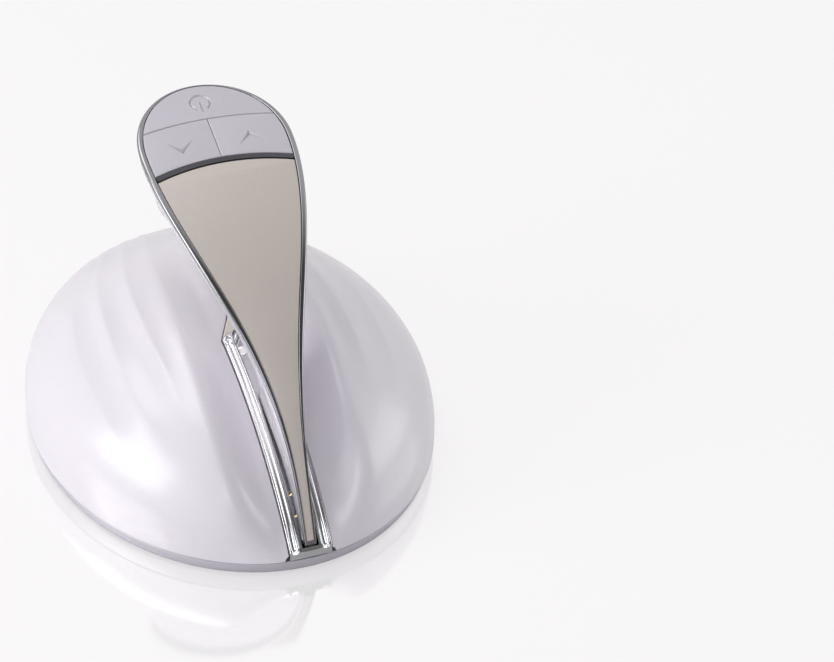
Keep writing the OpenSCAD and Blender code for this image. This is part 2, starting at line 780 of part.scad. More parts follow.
// Round cell under the panel at the neck, lying along the chord of the face's arc
cell_top = 5.5;
cell_mid_u = -48;
module at_cell() {
    a = asin(-cell_mid_u / face_r);
    r = face_r - cell_top - cell_r;
    translate([0, -r * sin(a), r * cos(a) - face_r]) rotate([a, 0, 0]) rotate([90, 0, 0]) children();
}
module battery() {
    color("#3d6fa8") at_head() at_cell() {
        translate([0, 0, -cell_l / 2]) cylinder(r = cell_r, h = cell_l);
        translate([0, 0, cell_l / 2]) cylinder(r = 2.6, h = 1);
    }
}
module battery_tray() {
    tray_r = cell_r + 0.2;
    color("#d9d8dc") at_head() at_cell() difference() {
        translate([0, 0, -cell_l / 2 - 1]) cylinder(r = tray_r + 1, h = cell_l - 4);
        translate([0, 0, -cell_l / 2 - 0.2]) cylinder(r = tray_r, h = far);
        translate([-far / 2, -0.5, -far / 2]) cube([far, far, far]);
        for (z = [-12, 2]) translate([-far / 2, -far - 4, z]) cube([far, far, 9]);
    }
}

// Rear shell: sections square to the face's arc, from the tail to the head's end
keel_hw = 2.6;
keel_share = 0.86;
// Powers of the body's section: its sides lean in from the seam, and its back is nearly flat
flat_power = 2.4;
side_power = 1.6;
function to_circle(a, r) = let (
        // distance from the face's arc, along its inward normal at angle a, to the circle of radius r
        y = -face_r * sin(a), z = face_r * cos(a),
        cy = lip_u, cz = lip_n + face_r,
        along = sin(a) * (y - cy) - cos(a) * (z - cz),
        gap2 = pow(y - cy, 2) + pow(z - cz, 2) - r * r)
    -along - sqrt(max(0, along * along - gap2));
lip_u = (lip_cy - head_y) * cos(head_tilt) + (lip_cz - head_z) * sin(head_tilt);
lip_n = -(lip_cy - head_y) * sin(head_tilt) + (lip_cz - head_z) * cos(head_tilt);
seam_d = frame_d + seam_gap;
function seam_at(a) = seam_d - side_taper * sin(a);
keel_fade_from = 44;
keel_fade_to = 92;

function body_depth(a, u, inset) = let (
        full = mix(neck_d, head_d, smooth((u + 60) / 55)),
        ridge = max(seam_at(a) + 0.4, min(full, to_circle(a, ridge_r))),
        round_end = u <= 0 ? 1 : pow(1 - pow(min(1, u / head_up), flat_power), 1 / side_power))
    mix(seam_at(a), ridge - inset, round_end);
function keel_depth(a, u) = let (
        s = handle_run - a * PI / 180 * face_r,
        own = body_depth(a, u, 0))
    max(0, (to_circle(a, keel_r) - own) * (1 - smooth((s - keel_fade_from) / (keel_fade_to - keel_fade_from))));

function section(a, u, inset, keel_on, rise) = let (
        w = max(0.6, half_w(u) - inset),
        k = min(keel_hw, keel_share * w),
        top = seam_at(a) - rise,
        deep = body_depth(a, u, inset) - top,
        fin = keel_on * keel_depth(a, u),
        xs = concat([0, 0.55 * k, 0.85 * k, 0.95 * k],
                    [for (i = [0 : 8]) k + (w - k) * sin(90 * i / 8)]),
        half = [for (j = [0 : len(xs) - 1]) let (x = xs[j])
            [x, top + deep * pow(max(0, 1 - pow(x / w, flat_power)), 1 / side_power)
                + fin * (j == 0 ? 1 : j == 1 ? 0.97 : j == 2 ? 0.88 : j == 3 ? 0.7 : 0)]],
        n = len(half))
    [for (j = [n - 1 : -1 : 1]) [-half[j][0], half[j][1]], for (p = half) p];

module shell_solid(from_u, inset, keel_on, rise, n_run, n_head) {
    us = concat(
        [for (i = [0 : n_run - 1]) from_u * (1 - i / n_run)],
        [for (i = [0 : n_head]) (head_up - inset) * sin(86 * i / n_head)]);
    sections = [for (u = us) let (a = -asin(u / face_r))
        [for (p = section(a, u + inset * (u > 0 ? u / head_up : 0), inset, keel_on, rise))
            let (r = face_r - p[1]) [p[0], -r * sin(a), r * cos(a) - face_r]]];
    cols = len(sections[0]);
    rows = len(sections);
    faces = concat(
        [for (q = quads(rows, cols)) each [[q[0], q[1], q[2]], [q[0], q[2], q[3]]]],
        [for (i = [0 : rows - 2]) [i * cols + cols - 1, i * cols, (i + 1) * cols, (i + 1) * cols + cols - 1]],
        [[for (j = [cols - 1 : -1 : 0]) j]],
        [[for (j = [0 : cols - 1]) (rows - 1) * cols + j]]);
    polyhedron([for (s = sections) each s], faces, convexity = 6);
}

cavity_u = -88;
pad_r = 1.4;
pad_t = 1.2;
flex_hw = 1;
flex_top = 3.4;
flex_t = 0.3;
flex_from = cavity_u + 3;
module at_pads() {
    for (a = pin_angles) on_trough(keel_r, a) children();
}
module rear_shell() {
    color("#ecebf0") difference() {
        at_head() difference() {
            shell_solid(tail_u, 0, 1, 0, 30, 12);
            shell_solid(cavity_u, shell_wall, 0, 2, 12, 7);
            translate([0, 0, ring_bottom]) cylinder(r = ring_r + 0.25, h = ring_top - ring_bottom + 4);
        }
        at_pads() translate([0, 0, -1]) cylinder(r = pad_r + hole_gap, h = 1 + pad_t + 0.3);
    }
}

module contact_pads() {
    color("#d8b25a") at_pads() cylinder(r = pad_r, h = pad_t);
}

// Flat lead in the gap behind the panel, from the tail's end of the cavity to the boards
module charge_flex() {
    color("#c98a3a") at_head() intersection() {
        difference() {
            face_cylinder(flex_top, flex_hw);
            face_cylinder(flex_top + flex_t, flex_hw + 1);
        }
        translate([-far / 2, flex_from, -far]) cube([far, -board_r - 4 - flex_from, 2 * far]);
    }
}

base_tray();
rubber_feet();
base_screws();
ballast_plate();
charge_board();
power_socket();
dome_shell();
cradle();
cradle_screws();
pin_carrier();
pin_springs();
contact_pin_front();
contact_pin_rear();
rear_shell();
side_frame();
face_panel();
key_strip();
power_key();
down_key();
up_key();
mid_frame();
key_board();
tact_switches();
board_screws();
main_board();
vibration_motor();
battery();
battery_tray();
charge_flex();
contact_pads();
treatment_ring();
ring_screws();
plate_seal();
electrode_plate();
transducer();
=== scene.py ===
"""Facial toning handset in its oval, shell-shaped dock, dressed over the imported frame.

Lengths are millimetres until a piece is finished; +Z is up and -Y is towards the user.
"""
import json
from math import asin, copysign, cos, dist, hypot, pi, radians, sin, sqrt

import bmesh
import bpy
from mathutils import Matrix, Vector


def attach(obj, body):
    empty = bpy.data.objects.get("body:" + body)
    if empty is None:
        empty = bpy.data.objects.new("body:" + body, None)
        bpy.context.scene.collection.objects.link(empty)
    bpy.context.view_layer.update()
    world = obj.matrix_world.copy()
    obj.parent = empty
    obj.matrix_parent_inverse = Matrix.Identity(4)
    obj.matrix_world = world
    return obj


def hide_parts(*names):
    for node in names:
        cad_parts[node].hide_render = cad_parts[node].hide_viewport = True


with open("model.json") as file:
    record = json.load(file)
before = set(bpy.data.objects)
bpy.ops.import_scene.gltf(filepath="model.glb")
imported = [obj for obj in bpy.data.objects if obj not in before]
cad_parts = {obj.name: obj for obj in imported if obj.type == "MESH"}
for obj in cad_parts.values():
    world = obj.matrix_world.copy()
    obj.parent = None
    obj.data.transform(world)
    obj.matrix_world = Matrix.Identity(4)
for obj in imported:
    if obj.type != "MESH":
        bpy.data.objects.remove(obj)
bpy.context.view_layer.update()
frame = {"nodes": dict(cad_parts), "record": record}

MM = 0.001
MERGE, SAME_SPOT = 0.002, 0.0008

# ---- sizes

BASE_W, BASE_L = 150.0, 185.0
CROWN_Z, CROWN_SHIFT = 62.0, 5.0
CROWN_POWER, CROWN_ROOT = 1.64, 2.37
RIM_Z, RIM_LEAN, RIM_GAP, RIM_ROUND = 6.0, 1.3, 0.3, 0.45
RIM_GROOVE_D, RIM_GROOVE_IN, RIM_LEDGE_IN = 0.9, 0.15, 5.2
FOOT_PROUD, TRAY_WALL = 0.8, 2.2
DOME_WALL, FIT_GAP = 3.0, 0.3
VALLEY_HW, VALLEY_END, VALLEY_RUN = 28.0, -10.0, 60.0

# The dome's steps: places across its widest line, and how they start and fade
LEFT_STEPS, RIGHT_STEPS = (21.5, 34.0, 46.0, 57.5), (28.5, 39.0, 52.0)
STEP_H, HOLLOW_LOW = 1.15, 0.55
STEP_FROM, STEP_RUN = -62.0, 44.0
STEP_BACK, STEP_BACK_RUN, STEP_BACK_SHARE = 5.0, 35.0, 0.3
STEP_OVAL_Y, STEP_OVAL_HL, STEP_OVAL_ENDS = -15.0, 100.0, (-60.0, 55.0)
SLOT_MARGIN, EDGE_ROLLS = 1.2, (0.0, 0.05, 0.16, 0.4)
DOME_ROWS, BAND_COLUMNS, FLANK_COLUMNS = 150, 18, 24

FOOT_R, FOOT_T = 5.5, 1.8
SCREW_R, SCREW_HEAD_R, SCREW_SEAT, SCREW_END = 1.5, 3.0, 2.6, 12.6
SOCKET_HOLE_R, SOCKET_Z, SOCKET_HOLE_ENDS = 4.25, 14.2, (70.0, 100.0)

LIP_R, LIP_FRONT_ANGLE, LIP_FRONT_H = 135.0, 43.3, 3.6
TROUGH_L, TROUGH_HW, TROUGH_TAPER = 88.5, 8.0, 12.6
CHANNEL_HW, CHANNEL_D, CHANNEL_FLOOR = 3.7, 5.3, 3.2
SCOOP_R, SCOOP_SUNK, SCOOP_EDGE = 1.9, 0.3, 0.35
CRADLE_EASE, CRADLE_ROUND = 0.18, 0.3
# Where the cradle's cuts start and end, in degrees of its arc
SCOOP_SPAN, CHANNEL_SPAN, TAIL_SLOT_FROM, TAIL_SLOT_L = (0.65, 37.0), (3.0, 39.0), 0.6, 12.0

FACE_R, TAIL_LEAN, HANDLE_RUN = 175.0, 20.7, 150.5
HEAD_HW, HEAD_UP, TAIL_HW, FLARE_POWER = 28.7, 30.2, 2.3, 1.55
END_TRIM_SHARE = 0.35
FRAME_D, FRAME_W, SIDE_TAPER = 4.6, 2.4, 2.9
OUTER_EASE, SEAM_INSET = 0.3, 1.2
FRAME_OUTER_R, FRAME_INNER_R, FRAME_LEDGE_W = 0.9, 0.3, 1.4
HEAD_D, NECK_D = 22.0, 19.0
NECK_FROM, NECK_RUN = -60.0, 55.0
CAP_T, PANEL_T, TRIM_GAP, KEY_GAP, KEY_TRAVEL = 1.8, 1.6, 0.28, 0.08, 0.5
CAP_ROUND, PANEL_ROUND, PANEL_SUNK = 0.35, 0.18, 0.15
STRIP_DROP, STRIP_W, STRIP_BOW_R = 6.6, 2.0, 85.0
POWER_RISE, POWER_BOW_R = 19.1, 120.0
POST_R, POST_END, POST_ROUND = 2.0, -3.9, 0.15
POWER_POST_U, LOW_POST_X, LOW_POST_U = 15.0, 12.5, 2.0
MARK_DEPTH, MARK_OVER = 0.55, 1.0
KEEL_HW, KEEL_SHARE, KEEL_FADE = 2.6, 0.86, (44.0, 92.0)
FLAT_POWER, SIDE_POWER = 2.4, 1.6

RING_R, RING_PROUD, RING_WALL, RING_BORE_R = 20.0, 8.0, 2.4, 11.8
RING_ROOT, RING_LEDGE, RING_LEDGE_T, RING_ROUND = 6.5, 1.4, 1.5, 0.9
SEAT_STEP, SEAL_T, DISH_R = 2.6, 1.2, 80.0

# Worked out from the sizes above, as in the solids
FRONT_Y = -BASE_L / 2
DOME_Z = RIM_Z + RIM_GAP
DOME_H = CROWN_Z - DOME_Z
LIP_CY = FRONT_Y + LIP_R * cos(radians(LIP_FRONT_ANGLE))
LIP_CZ = RIM_Z + LIP_FRONT_H - LIP_R * sin(radians(LIP_FRONT_ANGLE))
SEAT_R = LIP_R - CHANNEL_D
KEEL_R = SEAT_R + FIT_GAP
RIDGE_R = LIP_R - 1.0
CRADLE_R = SEAT_R - CHANNEL_FLOOR
TROUGH_BACK = FRONT_Y + TROUGH_L
TIP_HW = 0.2 * TROUGH_HW
SCOOP_X = TROUGH_HW - SCOOP_EDGE - SCOOP_R
TAIL_SLOT_HW = TAIL_HW + 0.8

TAIL_Y = FRONT_Y + 0.8
TAIL_Z = RIM_Z + LIP_FRONT_H + 2.3
FACE_CY = TAIL_Y + FACE_R * cos(radians(TAIL_LEAN))
FACE_CZ = TAIL_Z - FACE_R * sin(radians(TAIL_LEAN))
RUN_ANGLE = HANDLE_RUN / FACE_R
HEAD_TILT = radians(90 - TAIL_LEAN) - RUN_ANGLE
HEAD_Y = FACE_CY - FACE_R * sin(HEAD_TILT)
HEAD_Z = FACE_CZ + FACE_R * cos(HEAD_TILT)
TAIL_U = -FACE_R * sin(RUN_ANGLE)
SEAM_D = FRAME_D + 0.2
TRIM_INSET = FRAME_W + TRIM_GAP
# The trough arc's centre along the face and square to it
LIP_U = (LIP_CY - HEAD_Y) * cos(HEAD_TILT) + (LIP_CZ - HEAD_Z) * sin(HEAD_TILT)
LIP_N = -(LIP_CY - HEAD_Y) * sin(HEAD_TILT) + (LIP_CZ - HEAD_Z) * cos(HEAD_TILT)
RING_TOP = -HEAD_D + RING_ROOT
RING_BOTTOM = -HEAD_D - RING_PROUD


def clamp(v):
    return min(1.0, max(0.0, v))


def smooth(v):
    t = clamp(v)
    return t * t * (3 - 2 * t)


def mix(a, b, t):
    return a + (b - a) * t


def quarter(steps):
    """(sine, cosine) of even turns from level to upright."""
    turns = [pi / 2 * i / steps for i in range(steps + 1)]
    return [(sin(t), cos(t)) for t in turns]


# ---- mesh tools

def add_object(name, data):
    obj = bpy.data.objects.new(name, data)
    bpy.context.scene.collection.objects.link(obj)
    return obj


def bmesh_object(name, bm):
    """A linked object of a millimetre bmesh, in metres, with its faces turned outwards."""
    bmesh.ops.remove_doubles(bm, verts=bm.verts, dist=MERGE)
    bmesh.ops.recalc_face_normals(bm, faces=bm.faces)
    bm.transform(Matrix.Scale(MM, 4))
    mesh = bpy.data.meshes.new(name)
    bm.to_mesh(mesh)
    bm.free()
    return add_object(name, mesh)


def keep_result(obj):
    """Turns an object's modifiers into its plain mesh."""
    bpy.context.view_layer.update()
    graph = bpy.context.evaluated_depsgraph_get()
    mesh = bpy.data.meshes.new_from_object(obj.evaluated_get(graph))
    obj.modifiers.clear()
    obj.data = mesh


def carve(obj, cutters):
    """Cuts closed shapes out of an object."""
    for cutter in cutters:
        cut = obj.modifiers.new("cut", "BOOLEAN")
        cut.operation = "DIFFERENCE"
        cut.solver = "EXACT"
        cut.object = cutter
    keep_result(obj)
    for cutter in cutters:
        bpy.data.objects.remove(cutter)


def finish_piece(obj, body, slot, nodes, sharp=36.0, look=None):
    """Shades a piece, gives it its material and its body, and hides the solids that it stands for.
    """
    obj.data.shade_smooth()
    obj.data.set_sharp_from_angle(angle=radians(sharp))
    obj.data.materials.clear()
    obj.data.materials.append(MATERIALS[look or slot])
    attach(obj, body)
    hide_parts(*nodes)


def skin(rings, around=False):
    """A surface through rings of corners, with a cap on each end or on round to the first ring."""
    bm = bmesh.new()
    rows = [[bm.verts.new(corner) for corner in ring] for ring in rings]
    for low, high in zip(rows, rows[1:] + rows[:1] if around else rows[1:]):
        for i in range(len(low)):
            k = (i + 1) % len(low)
            bm.faces.new((low[i], low[k], high[k], high[i]))
    if not around:
        bm.faces.new(rows[-1])
        bm.faces.new(rows[0][::-1])
    return bm


def lathe(name, profile, spot=lambda x, y, z: (x, y, z), steps=160):
    """An object spun from a closed (radius, height) profile, with its points moved by spot."""
    bm = bmesh.new()
    turns = [2 * pi * i / steps for i in range(steps)]
    rings = [[bm.verts.new(spot(r * cos(turn), r * sin(turn), z)) for r, z in profile]
             for turn in turns]
    count = len(profile)
    for here, there in zip(rings, rings[1:] + rings[:1]):
        for j in range(count):
            k = (j + 1) % count
            if profile[j][0] > 0 or profile[k][0] > 0:
                bm.faces.new((here[j], there[j], there[k], here[k]))
    return bmesh_object(name, bm)


def at_spot(x, y):
    return lambda a, b, c: (x + a, y + b, c)


def shrink(outline, inset):
    """Moves each corner of a counter-clockwise outline inwards along its mitre."""
    moved = []
    count = len(outline)
    for i, (x, y) in enumerate(outline):
        x0, y0 = outline[i - 1]
        x1, y1 = outline[(i + 1) % count]
        before = Vector((y0 - y, x - x0)).normalized()
        after = Vector((y - y1, x1 - x)).normalized()
        mitre = (before + after) / max(0.25, 1 + before.dot(after))
        moved.append((x + mitre.x * inset, y + mitre.y * inset))
    return moved


def rounded_edge(bottom, top, radius, steps=9):
    """(inset, depth) levels of a slab with a rounded upper edge, from the bottom up."""
    return [(0.0, bottom)] + [(radius * (1 - c), top + radius * (1 - s)) for s, c in quarter(steps)]


def slab(name, outline, levels, place, cuts):
    """An object from a flat region with a shaped edge, cut into strips and bent by place."""
    bm = skin([[(x, u, -depth) for x, u in shrink(outline, inset)] for inset, depth in levels])
    for u in cuts:
        parts = bm.verts[:] + bm.edges[:] + bm.faces[:]
        bmesh.ops.bisect_plane(bm, geom=parts, dist=0.0005, plane_co=(0, u, 0), plane_no=(0, 1, 0))
    for vert in bm.verts:
        vert.co = place(vert.co.x, vert.co.y, -vert.co.z)
    return bmesh_object(name, bm)


def spread(low, high, step):
    """The middles of even strips between low and high, about step wide."""
    count = max(1, int((high - low) / step))
    return [low + (high - low) * (i + 0.5) / count for i in range(count)]


def close_shell(bm, outer, inner, skipped):
    """Joins two like grids of vertices into one closed wall, open through the skipped cells."""
    faces = [(i, j) for i in range(len(outer) - 1) for j in range(len(outer[0]) - 1)
             if not skipped(i, j)]
    edges = {}
    for i, j in faces:
        corners = [(i, j), (i, j + 1), (i + 1, j + 1), (i + 1, j)]
        for a, b in zip(corners, corners[1:] + corners[:1]):
            edges[a, b] = True
        for grid, order in ((outer, corners), (inner, corners[::-1])):
            add_face(bm, [grid[a][b] for a, b in order])
    for a, b in edges:
        if (b, a) not in edges:
            add_face(bm, [outer[b[0]][b[1]], outer[a[0]][a[1]],
                          inner[a[0]][a[1]], inner[b[0]][b[1]]])


def add_face(bm, verts):
    """A face without repeated corners, or none where too few are left."""
    kept = []
    for v in verts:
        if all((v.co - other.co).length > SAME_SPOT for other in kept):
            kept.append(v)
    if len(kept) > 2:
        bm.faces.new(kept)


# ---- places on the object

def at_head(x, y, z):
    """A point given square to the head, as one of the whole object."""
    c, s = cos(HEAD_TILT), sin(HEAD_TILT)
    return (x, HEAD_Y + y * c - z * s, HEAD_Z + y * s + z * c)


def on_face(x, u, depth):
    """A point at u along the head's own direction, at a depth below the curved face."""
    r = FACE_R - depth
    return at_head(x, u, sqrt(r * r - u * u) - FACE_R)


def lip_y(angle):
    return LIP_CY - LIP_R * cos(radians(angle))


def lip_z(y, sunk=0.0):
    r = LIP_R - sunk
    return LIP_CZ + sqrt(max(0.0, r * r - (y - LIP_CY) ** 2))


def on_trough(x, y, depth):
    return (x, y, lip_z(y, depth))


def run_share(u):
    """Share of the handle's run from the tail at 0 to the head at 1."""
    return clamp(1 - asin(clamp(-u / FACE_R)) / RUN_ANGLE)


def half_w(u):
    if u >= 0:
        return HEAD_HW * sqrt(max(0.0, 1 - (u / HEAD_UP) ** 2))
    return TAIL_HW + (HEAD_HW - TAIL_HW) * smooth(run_share(u)) ** FLARE_POWER


def inset_at(u, inset):
    """Trim gets narrower towards the tail."""
    return inset * mix(END_TRIM_SHARE, 1.0, smooth(2 * run_share(u) - 0.2))


def head_reach(inset):
    """Half-axes of the head's oval for an outline drawn in by inset; trim is narrow at the end."""
    return HEAD_HW - inset, HEAD_UP - END_TRIM_SHARE * inset


def side_x(u, inset):
    if u >= 0:
        across, along = head_reach(inset)
        return across * sqrt(max(0.0, 1 - (u / along) ** 2))
    return half_w(u) - inset_at(u, inset)


class Bow:
    """An arc across the face, centred on the middle line below it."""

    def __init__(self, middle_u, radius, grow=0.0):
        self.centre = middle_u - radius
        self.radius = radius + grow

    def u(self, x):
        return self.centre + sqrt(self.radius ** 2 - x * x)

    def side(self, inset):
        """Where the arc meets the side of the face."""
        low, high = self.centre + self.radius - 12.0, head_reach(inset)[1] - 0.01
        for _ in range(50):
            middle = (low + high) / 2
            if self.u(side_x(middle, inset)) > middle:
                low = middle
            else:
                high = middle
        return side_x(low, inset), low

    def across(self, from_x, to_x, count):
        xs = [mix(from_x, to_x, i / count) for i in range(count + 1)]
        return [(x, self.u(x)) for x in xs]


def strip_bow(grow=0.0):
    return Bow(-STRIP_DROP, STRIP_BOW_R, grow)


def power_bow(grow):
    return Bow(POWER_RISE - STRIP_DROP, POWER_BOW_R, grow)


def side_line(inset, from_u, to_u, count):
    us = [mix(from_u, to_u, i / count) for i in range(count + 1)]
    return [(side_x(u, inset), u) for u in us]


def mirrored(points):
    return [(-x, u) for x, u in reversed(points)]


def without_repeats(points):
    least = 0.02
    kept = []
    for p in points:
        if not kept or dist(p, kept[-1]) > least:
            kept.append(p)
    if dist(kept[0], kept[-1]) < least:
        kept.pop()
    return kept


def head_arc(inset, from_u, count):
    """The round end of the face, from the right at from_u over the top to the left."""
    across, along = head_reach(inset)
    start = asin(from_u / along)
    turns = [mix(start, pi - start, i / count) for i in range(count + 1)]
    return [(across * cos(t), along * sin(t)) for t in turns]


# ---- shading

def new_group(name, kind, inputs, outputs):
    """A node group; each input is given by its kind of socket, or by its usual value."""
    tree = bpy.data.node_groups.new(name, kind)
    for way, sockets in (("INPUT", inputs), ("OUTPUT", outputs)):
        for label, given in sockets.items():
            usual = not isinstance(given, str)
            socket = tree.interface.new_socket(
                label, in_out=way, socket_type="NodeSocket" + ("Float" if usual else given))
            if usual:
                socket.default_value = given
    return tree, tree.nodes.new("NodeGroupInput"), tree.nodes.new("NodeGroupOutput")


def add_node(tree, kind, inputs=(), **settings):
    """A node with its own settings and with (label, value) pairs for its inputs."""
    node = tree.nodes.new(kind)
    for label, value in settings.items():
        setattr(node, label, value)
    for label, value in inputs:
        node.inputs[label].default_value = value
    return node


def wire(tree, *links):
    """Links given as (node, output, next node, input)."""
    for source, output, target, given in links:
        tree.links.new(source.outputs[output], target.inputs[given])


def add_noise(tree, scale, detail, roughness=0.5):
    coords = tree.nodes.new("ShaderNodeTexCoord")
    noise = add_node(tree, "ShaderNodeTexNoise", (
        ("Detail", detail), ("Roughness", roughness), ("Scale", scale)))
    wire(tree, (coords, "Object", noise, "Vector"))
    return noise


def handling_group():
    """Faint smears of handling: roughness wanders between a clean and a smeared value."""
    tree, given, out = new_group("handling", "ShaderNodeTree", {
        "Clean": "Float", "Smeared": "Float"}, {"Roughness": "Float"})
    broad = add_noise(tree, 60.0, 3.0, 0.62)
    between = add_node(tree, "ShaderNodeMapRange", (("From Min", 0.38), ("From Max", 0.66)))
    wire(tree, (broad, "Fac", between, "Value"), (given, "Clean", between, "To Min"),
         (given, "Smeared", between, "To Max"), (between, "Result", out, "Roughness"))
    return tree


def flake_group():
    """Fine pearl or metal flake: each small cell leans a colour between two near ones."""
    tree, given, out = new_group("flake", "ShaderNodeTree", {
        "Scale": 3000.0, "Base": "Color", "Flake": "Color", "Amount": 0.35}, {"Color": "Color"})
    coords = tree.nodes.new("ShaderNodeTexCoord")
    cells = tree.nodes.new("ShaderNodeTexVoronoi")
    split = tree.nodes.new("ShaderNodeSeparateColor")
    share = add_node(tree, "ShaderNodeMath", operation="MULTIPLY")
    blend = add_node(tree, "ShaderNodeMix", data_type="RGBA")
    wire(tree, (coords, "Object", cells, "Vector"), (given, "Scale", cells, "Scale"),
         (cells, "Color", split, "Color"), (split, "Red", share, 0), (given, "Amount", share, 1),
         (share, 0, blend, "Factor"), (given, "Base", blend, "A"), (given, "Flake", blend, "B"),
         (blend, "Result", out, "Color"))
    return tree


def grain_group():
    """The fine even texture of a moulded or blasted surface."""
    tree, _, out = new_group("grain", "ShaderNodeTree", {}, {"Height": "Float"})
    wire(tree, (add_noise(tree, 2500.0, 2.0), "Fac", out, "Height"))
    return tree


def tint_group():
    """A broad, faint drift of colour over a surface."""
    tree, given, out = new_group("tint_drift", "ShaderNodeTree", {
        "Base": "Color", "Drift": "Color"}, {"Color": "Color"})
    broad = add_noise(tree, 30.0, 2.0)
    share = add_node(tree, "ShaderNodeMapRange", (("From Min", 0.35), ("From Max", 0.68)))
    blend = add_node(tree, "ShaderNodeMix", data_type="RGBA")
    wire(tree, (broad, "Fac", share, "Value"), (share, "Result", blend, "Factor"),
         (given, "Base", blend, "A"), (given, "Drift", blend, "B"),
         (blend, "Result", out, "Color"))
    return tree


HANDLING = handling_group()
FLAKE = flake_group()
GRAIN = grain_group()
TINT = tint_group()


def use_group(tree, group, **values):
    return add_node(tree, "ShaderNodeGroup", values.items(), node_tree=group)


def surface(name, color, second, rough, grain=0.0, flake_scale=None, **plain):
    """A surface; the second colour is flake where flake_scale is given, and otherwise a drift.

    Rough is its roughness where clean and where handled; plain values go onto the shader itself.
    """
    mat = bpy.data.materials.new(name)
    mat.use_nodes = True
    tree = mat.node_tree
    shader = tree.nodes["Principled BSDF"]
    for label, value in plain.items():
        shader.inputs[label.replace("_", " ").title()].default_value = value
    touch = use_group(tree, HANDLING, Clean=rough[0], Smeared=rough[1])
    color, second = (*color, 1), (*second, 1)
    if flake_scale:
        tone = use_group(tree, FLAKE, Scale=flake_scale, Base=color, Flake=second)
    else:
        tone = use_group(tree, TINT, Base=color, Drift=second)
    wire(tree, (touch, "Roughness", shader, "Roughness"), (tone, "Color", shader, "Base Color"))
    if grain:
        texture = use_group(tree, GRAIN)
        bump = add_node(tree, "ShaderNodeBump", (("Strength", grain), ("Distance", 0.05 * MM)))
        wire(tree, (texture, "Height", bump, "Height"), (bump, "Normal", shader, "Normal"))
    return mat


METAL = {"metallic": 1.0}
# Each surface's colour, second colour, roughness where clean and handled, and the rest
SURFACES = {
    "dome_pearl": (
        (0.81, 0.77, 0.83), (0.88, 0.84, 0.90), (0.36, 0.42),
        {"flake_scale": 3000.0, "coat_weight": 0.9, "coat_roughness": 0.22}),
    "shell_pearl": (
        (0.81, 0.78, 0.84), (0.87, 0.84, 0.90), (0.25, 0.28),
        {"flake_scale": 3000.0, "metallic": 0.05, "coat_weight": 0.7, "coat_roughness": 0.09}),
    "tray_grey": (
        (0.58, 0.555, 0.615), (0.55, 0.53, 0.585), (0.34, 0.42), {"grain": 0.12, "metallic": 0.2}),
    "chrome": ((0.88, 0.875, 0.89), (0.84, 0.835, 0.85), (0.05, 0.085), METAL),
    # Chrome with its colour darkened: painted shade standing in for the dark surroundings the frame
    # reflects
    "chrome_painted_shade": ((0.30, 0.297, 0.31), (0.275, 0.272, 0.285), (0.06, 0.10), METAL),
    # Chrome with its colour made near black: painted deep shade standing in for the dark
    # surroundings the strip reflects
    "chrome_painted_deep_shade": ((0.10, 0.098, 0.11), (0.08, 0.078, 0.088), (0.08, 0.14), METAL),
    "panel_champagne": (
        (0.635, 0.57, 0.525), (0.74, 0.68, 0.635), (0.42, 0.48),
        {"flake_scale": 4200.0, "metallic": 0.12}),
    "key_satin": (
        (0.60, 0.575, 0.635), (0.67, 0.645, 0.71), (0.36, 0.42),
        {"flake_scale": 3000.0, "grain": 0.05, "metallic": 0.15}),
    "foot_rubber": ((0.035, 0.035, 0.038), (0.05, 0.05, 0.052), (0.7, 0.85), {"grain": 0.5}),
    "screw_steel": ((0.50, 0.50, 0.52), (0.42, 0.42, 0.44), (0.28, 0.4), METAL),
    "ballast_steel": ((0.36, 0.37, 0.39), (0.28, 0.28, 0.30), (0.4, 0.6), METAL),
    "board_green": ((0.02, 0.12, 0.06), (0.03, 0.16, 0.08), (0.35, 0.45), {"grain": 0.2}),
    "black_plastic": ((0.02, 0.02, 0.023), (0.03, 0.03, 0.033), (0.4, 0.5), {"grain": 0.3}),
    "spring_steel": ((0.55, 0.55, 0.57), (0.5, 0.5, 0.52), (0.2, 0.3), METAL),
    "gold_contact": ((0.80, 0.58, 0.24), (0.74, 0.53, 0.22), (0.14, 0.22), METAL),
    "chassis_white": ((0.70, 0.70, 0.71), (0.66, 0.66, 0.67), (0.45, 0.55), {"grain": 0.25}),
    "switch_grey": ((0.15, 0.15, 0.16), (0.2, 0.2, 0.21), (0.4, 0.5), {"grain": 0.2}),
    "motor_steel": ((0.52, 0.52, 0.54), (0.45, 0.45, 0.47), (0.25, 0.38), METAL),
    "cell_blue": ((0.03, 0.13, 0.40), (0.04, 0.16, 0.46), (0.25, 0.32), {"grain": 0.05}),
    "flex_amber": ((0.52, 0.20, 0.02), (0.60, 0.26, 0.04), (0.25, 0.35), {}),
    "seal_rubber": ((0.10, 0.10, 0.11), (0.12, 0.12, 0.13), (0.6, 0.75), {"grain": 0.4}),
    "electrode_steel": ((0.80, 0.75, 0.68), (0.76, 0.71, 0.64), (0.10, 0.17), METAL),
    "ceramic": ((0.60, 0.57, 0.50), (0.66, 0.62, 0.55), (0.45, 0.6), {"grain": 0.3}),
}
MATERIALS = {name: surface(name, color, second, rough, **more)
             for name, (color, second, rough, more) in SURFACES.items()}


# ---- the dome

def oval_half(y):
    return BASE_W / 2 * sqrt(max(0.0, 1 - (2 * y / BASE_L) ** 2))


def crown(x, y):
    """The dome's height without its valley, with its top moved back by CROWN_SHIFT."""
    flat = hypot(2 * x / BASE_W, 2 * y / BASE_L)
    lean = CROWN_SHIFT * (1 - min(1.0, flat) ** 2)
    off = min(1.0, hypot(2 * x / BASE_W, 2 * (y + lean) / BASE_L))
    return DOME_H * (1 - off ** CROWN_POWER) ** (1 / CROWN_ROOT)


def valley(y):
    """Share of the crown's height that the valley takes at its middle."""
    top = crown(0.0, y)
    if top <= 0:
        return 0.0
    lip = lip_z(y) - DOME_Z
    return max(0.0, 1 - lip / top) * (1 - smooth((y - VALLEY_END) / VALLEY_RUN))


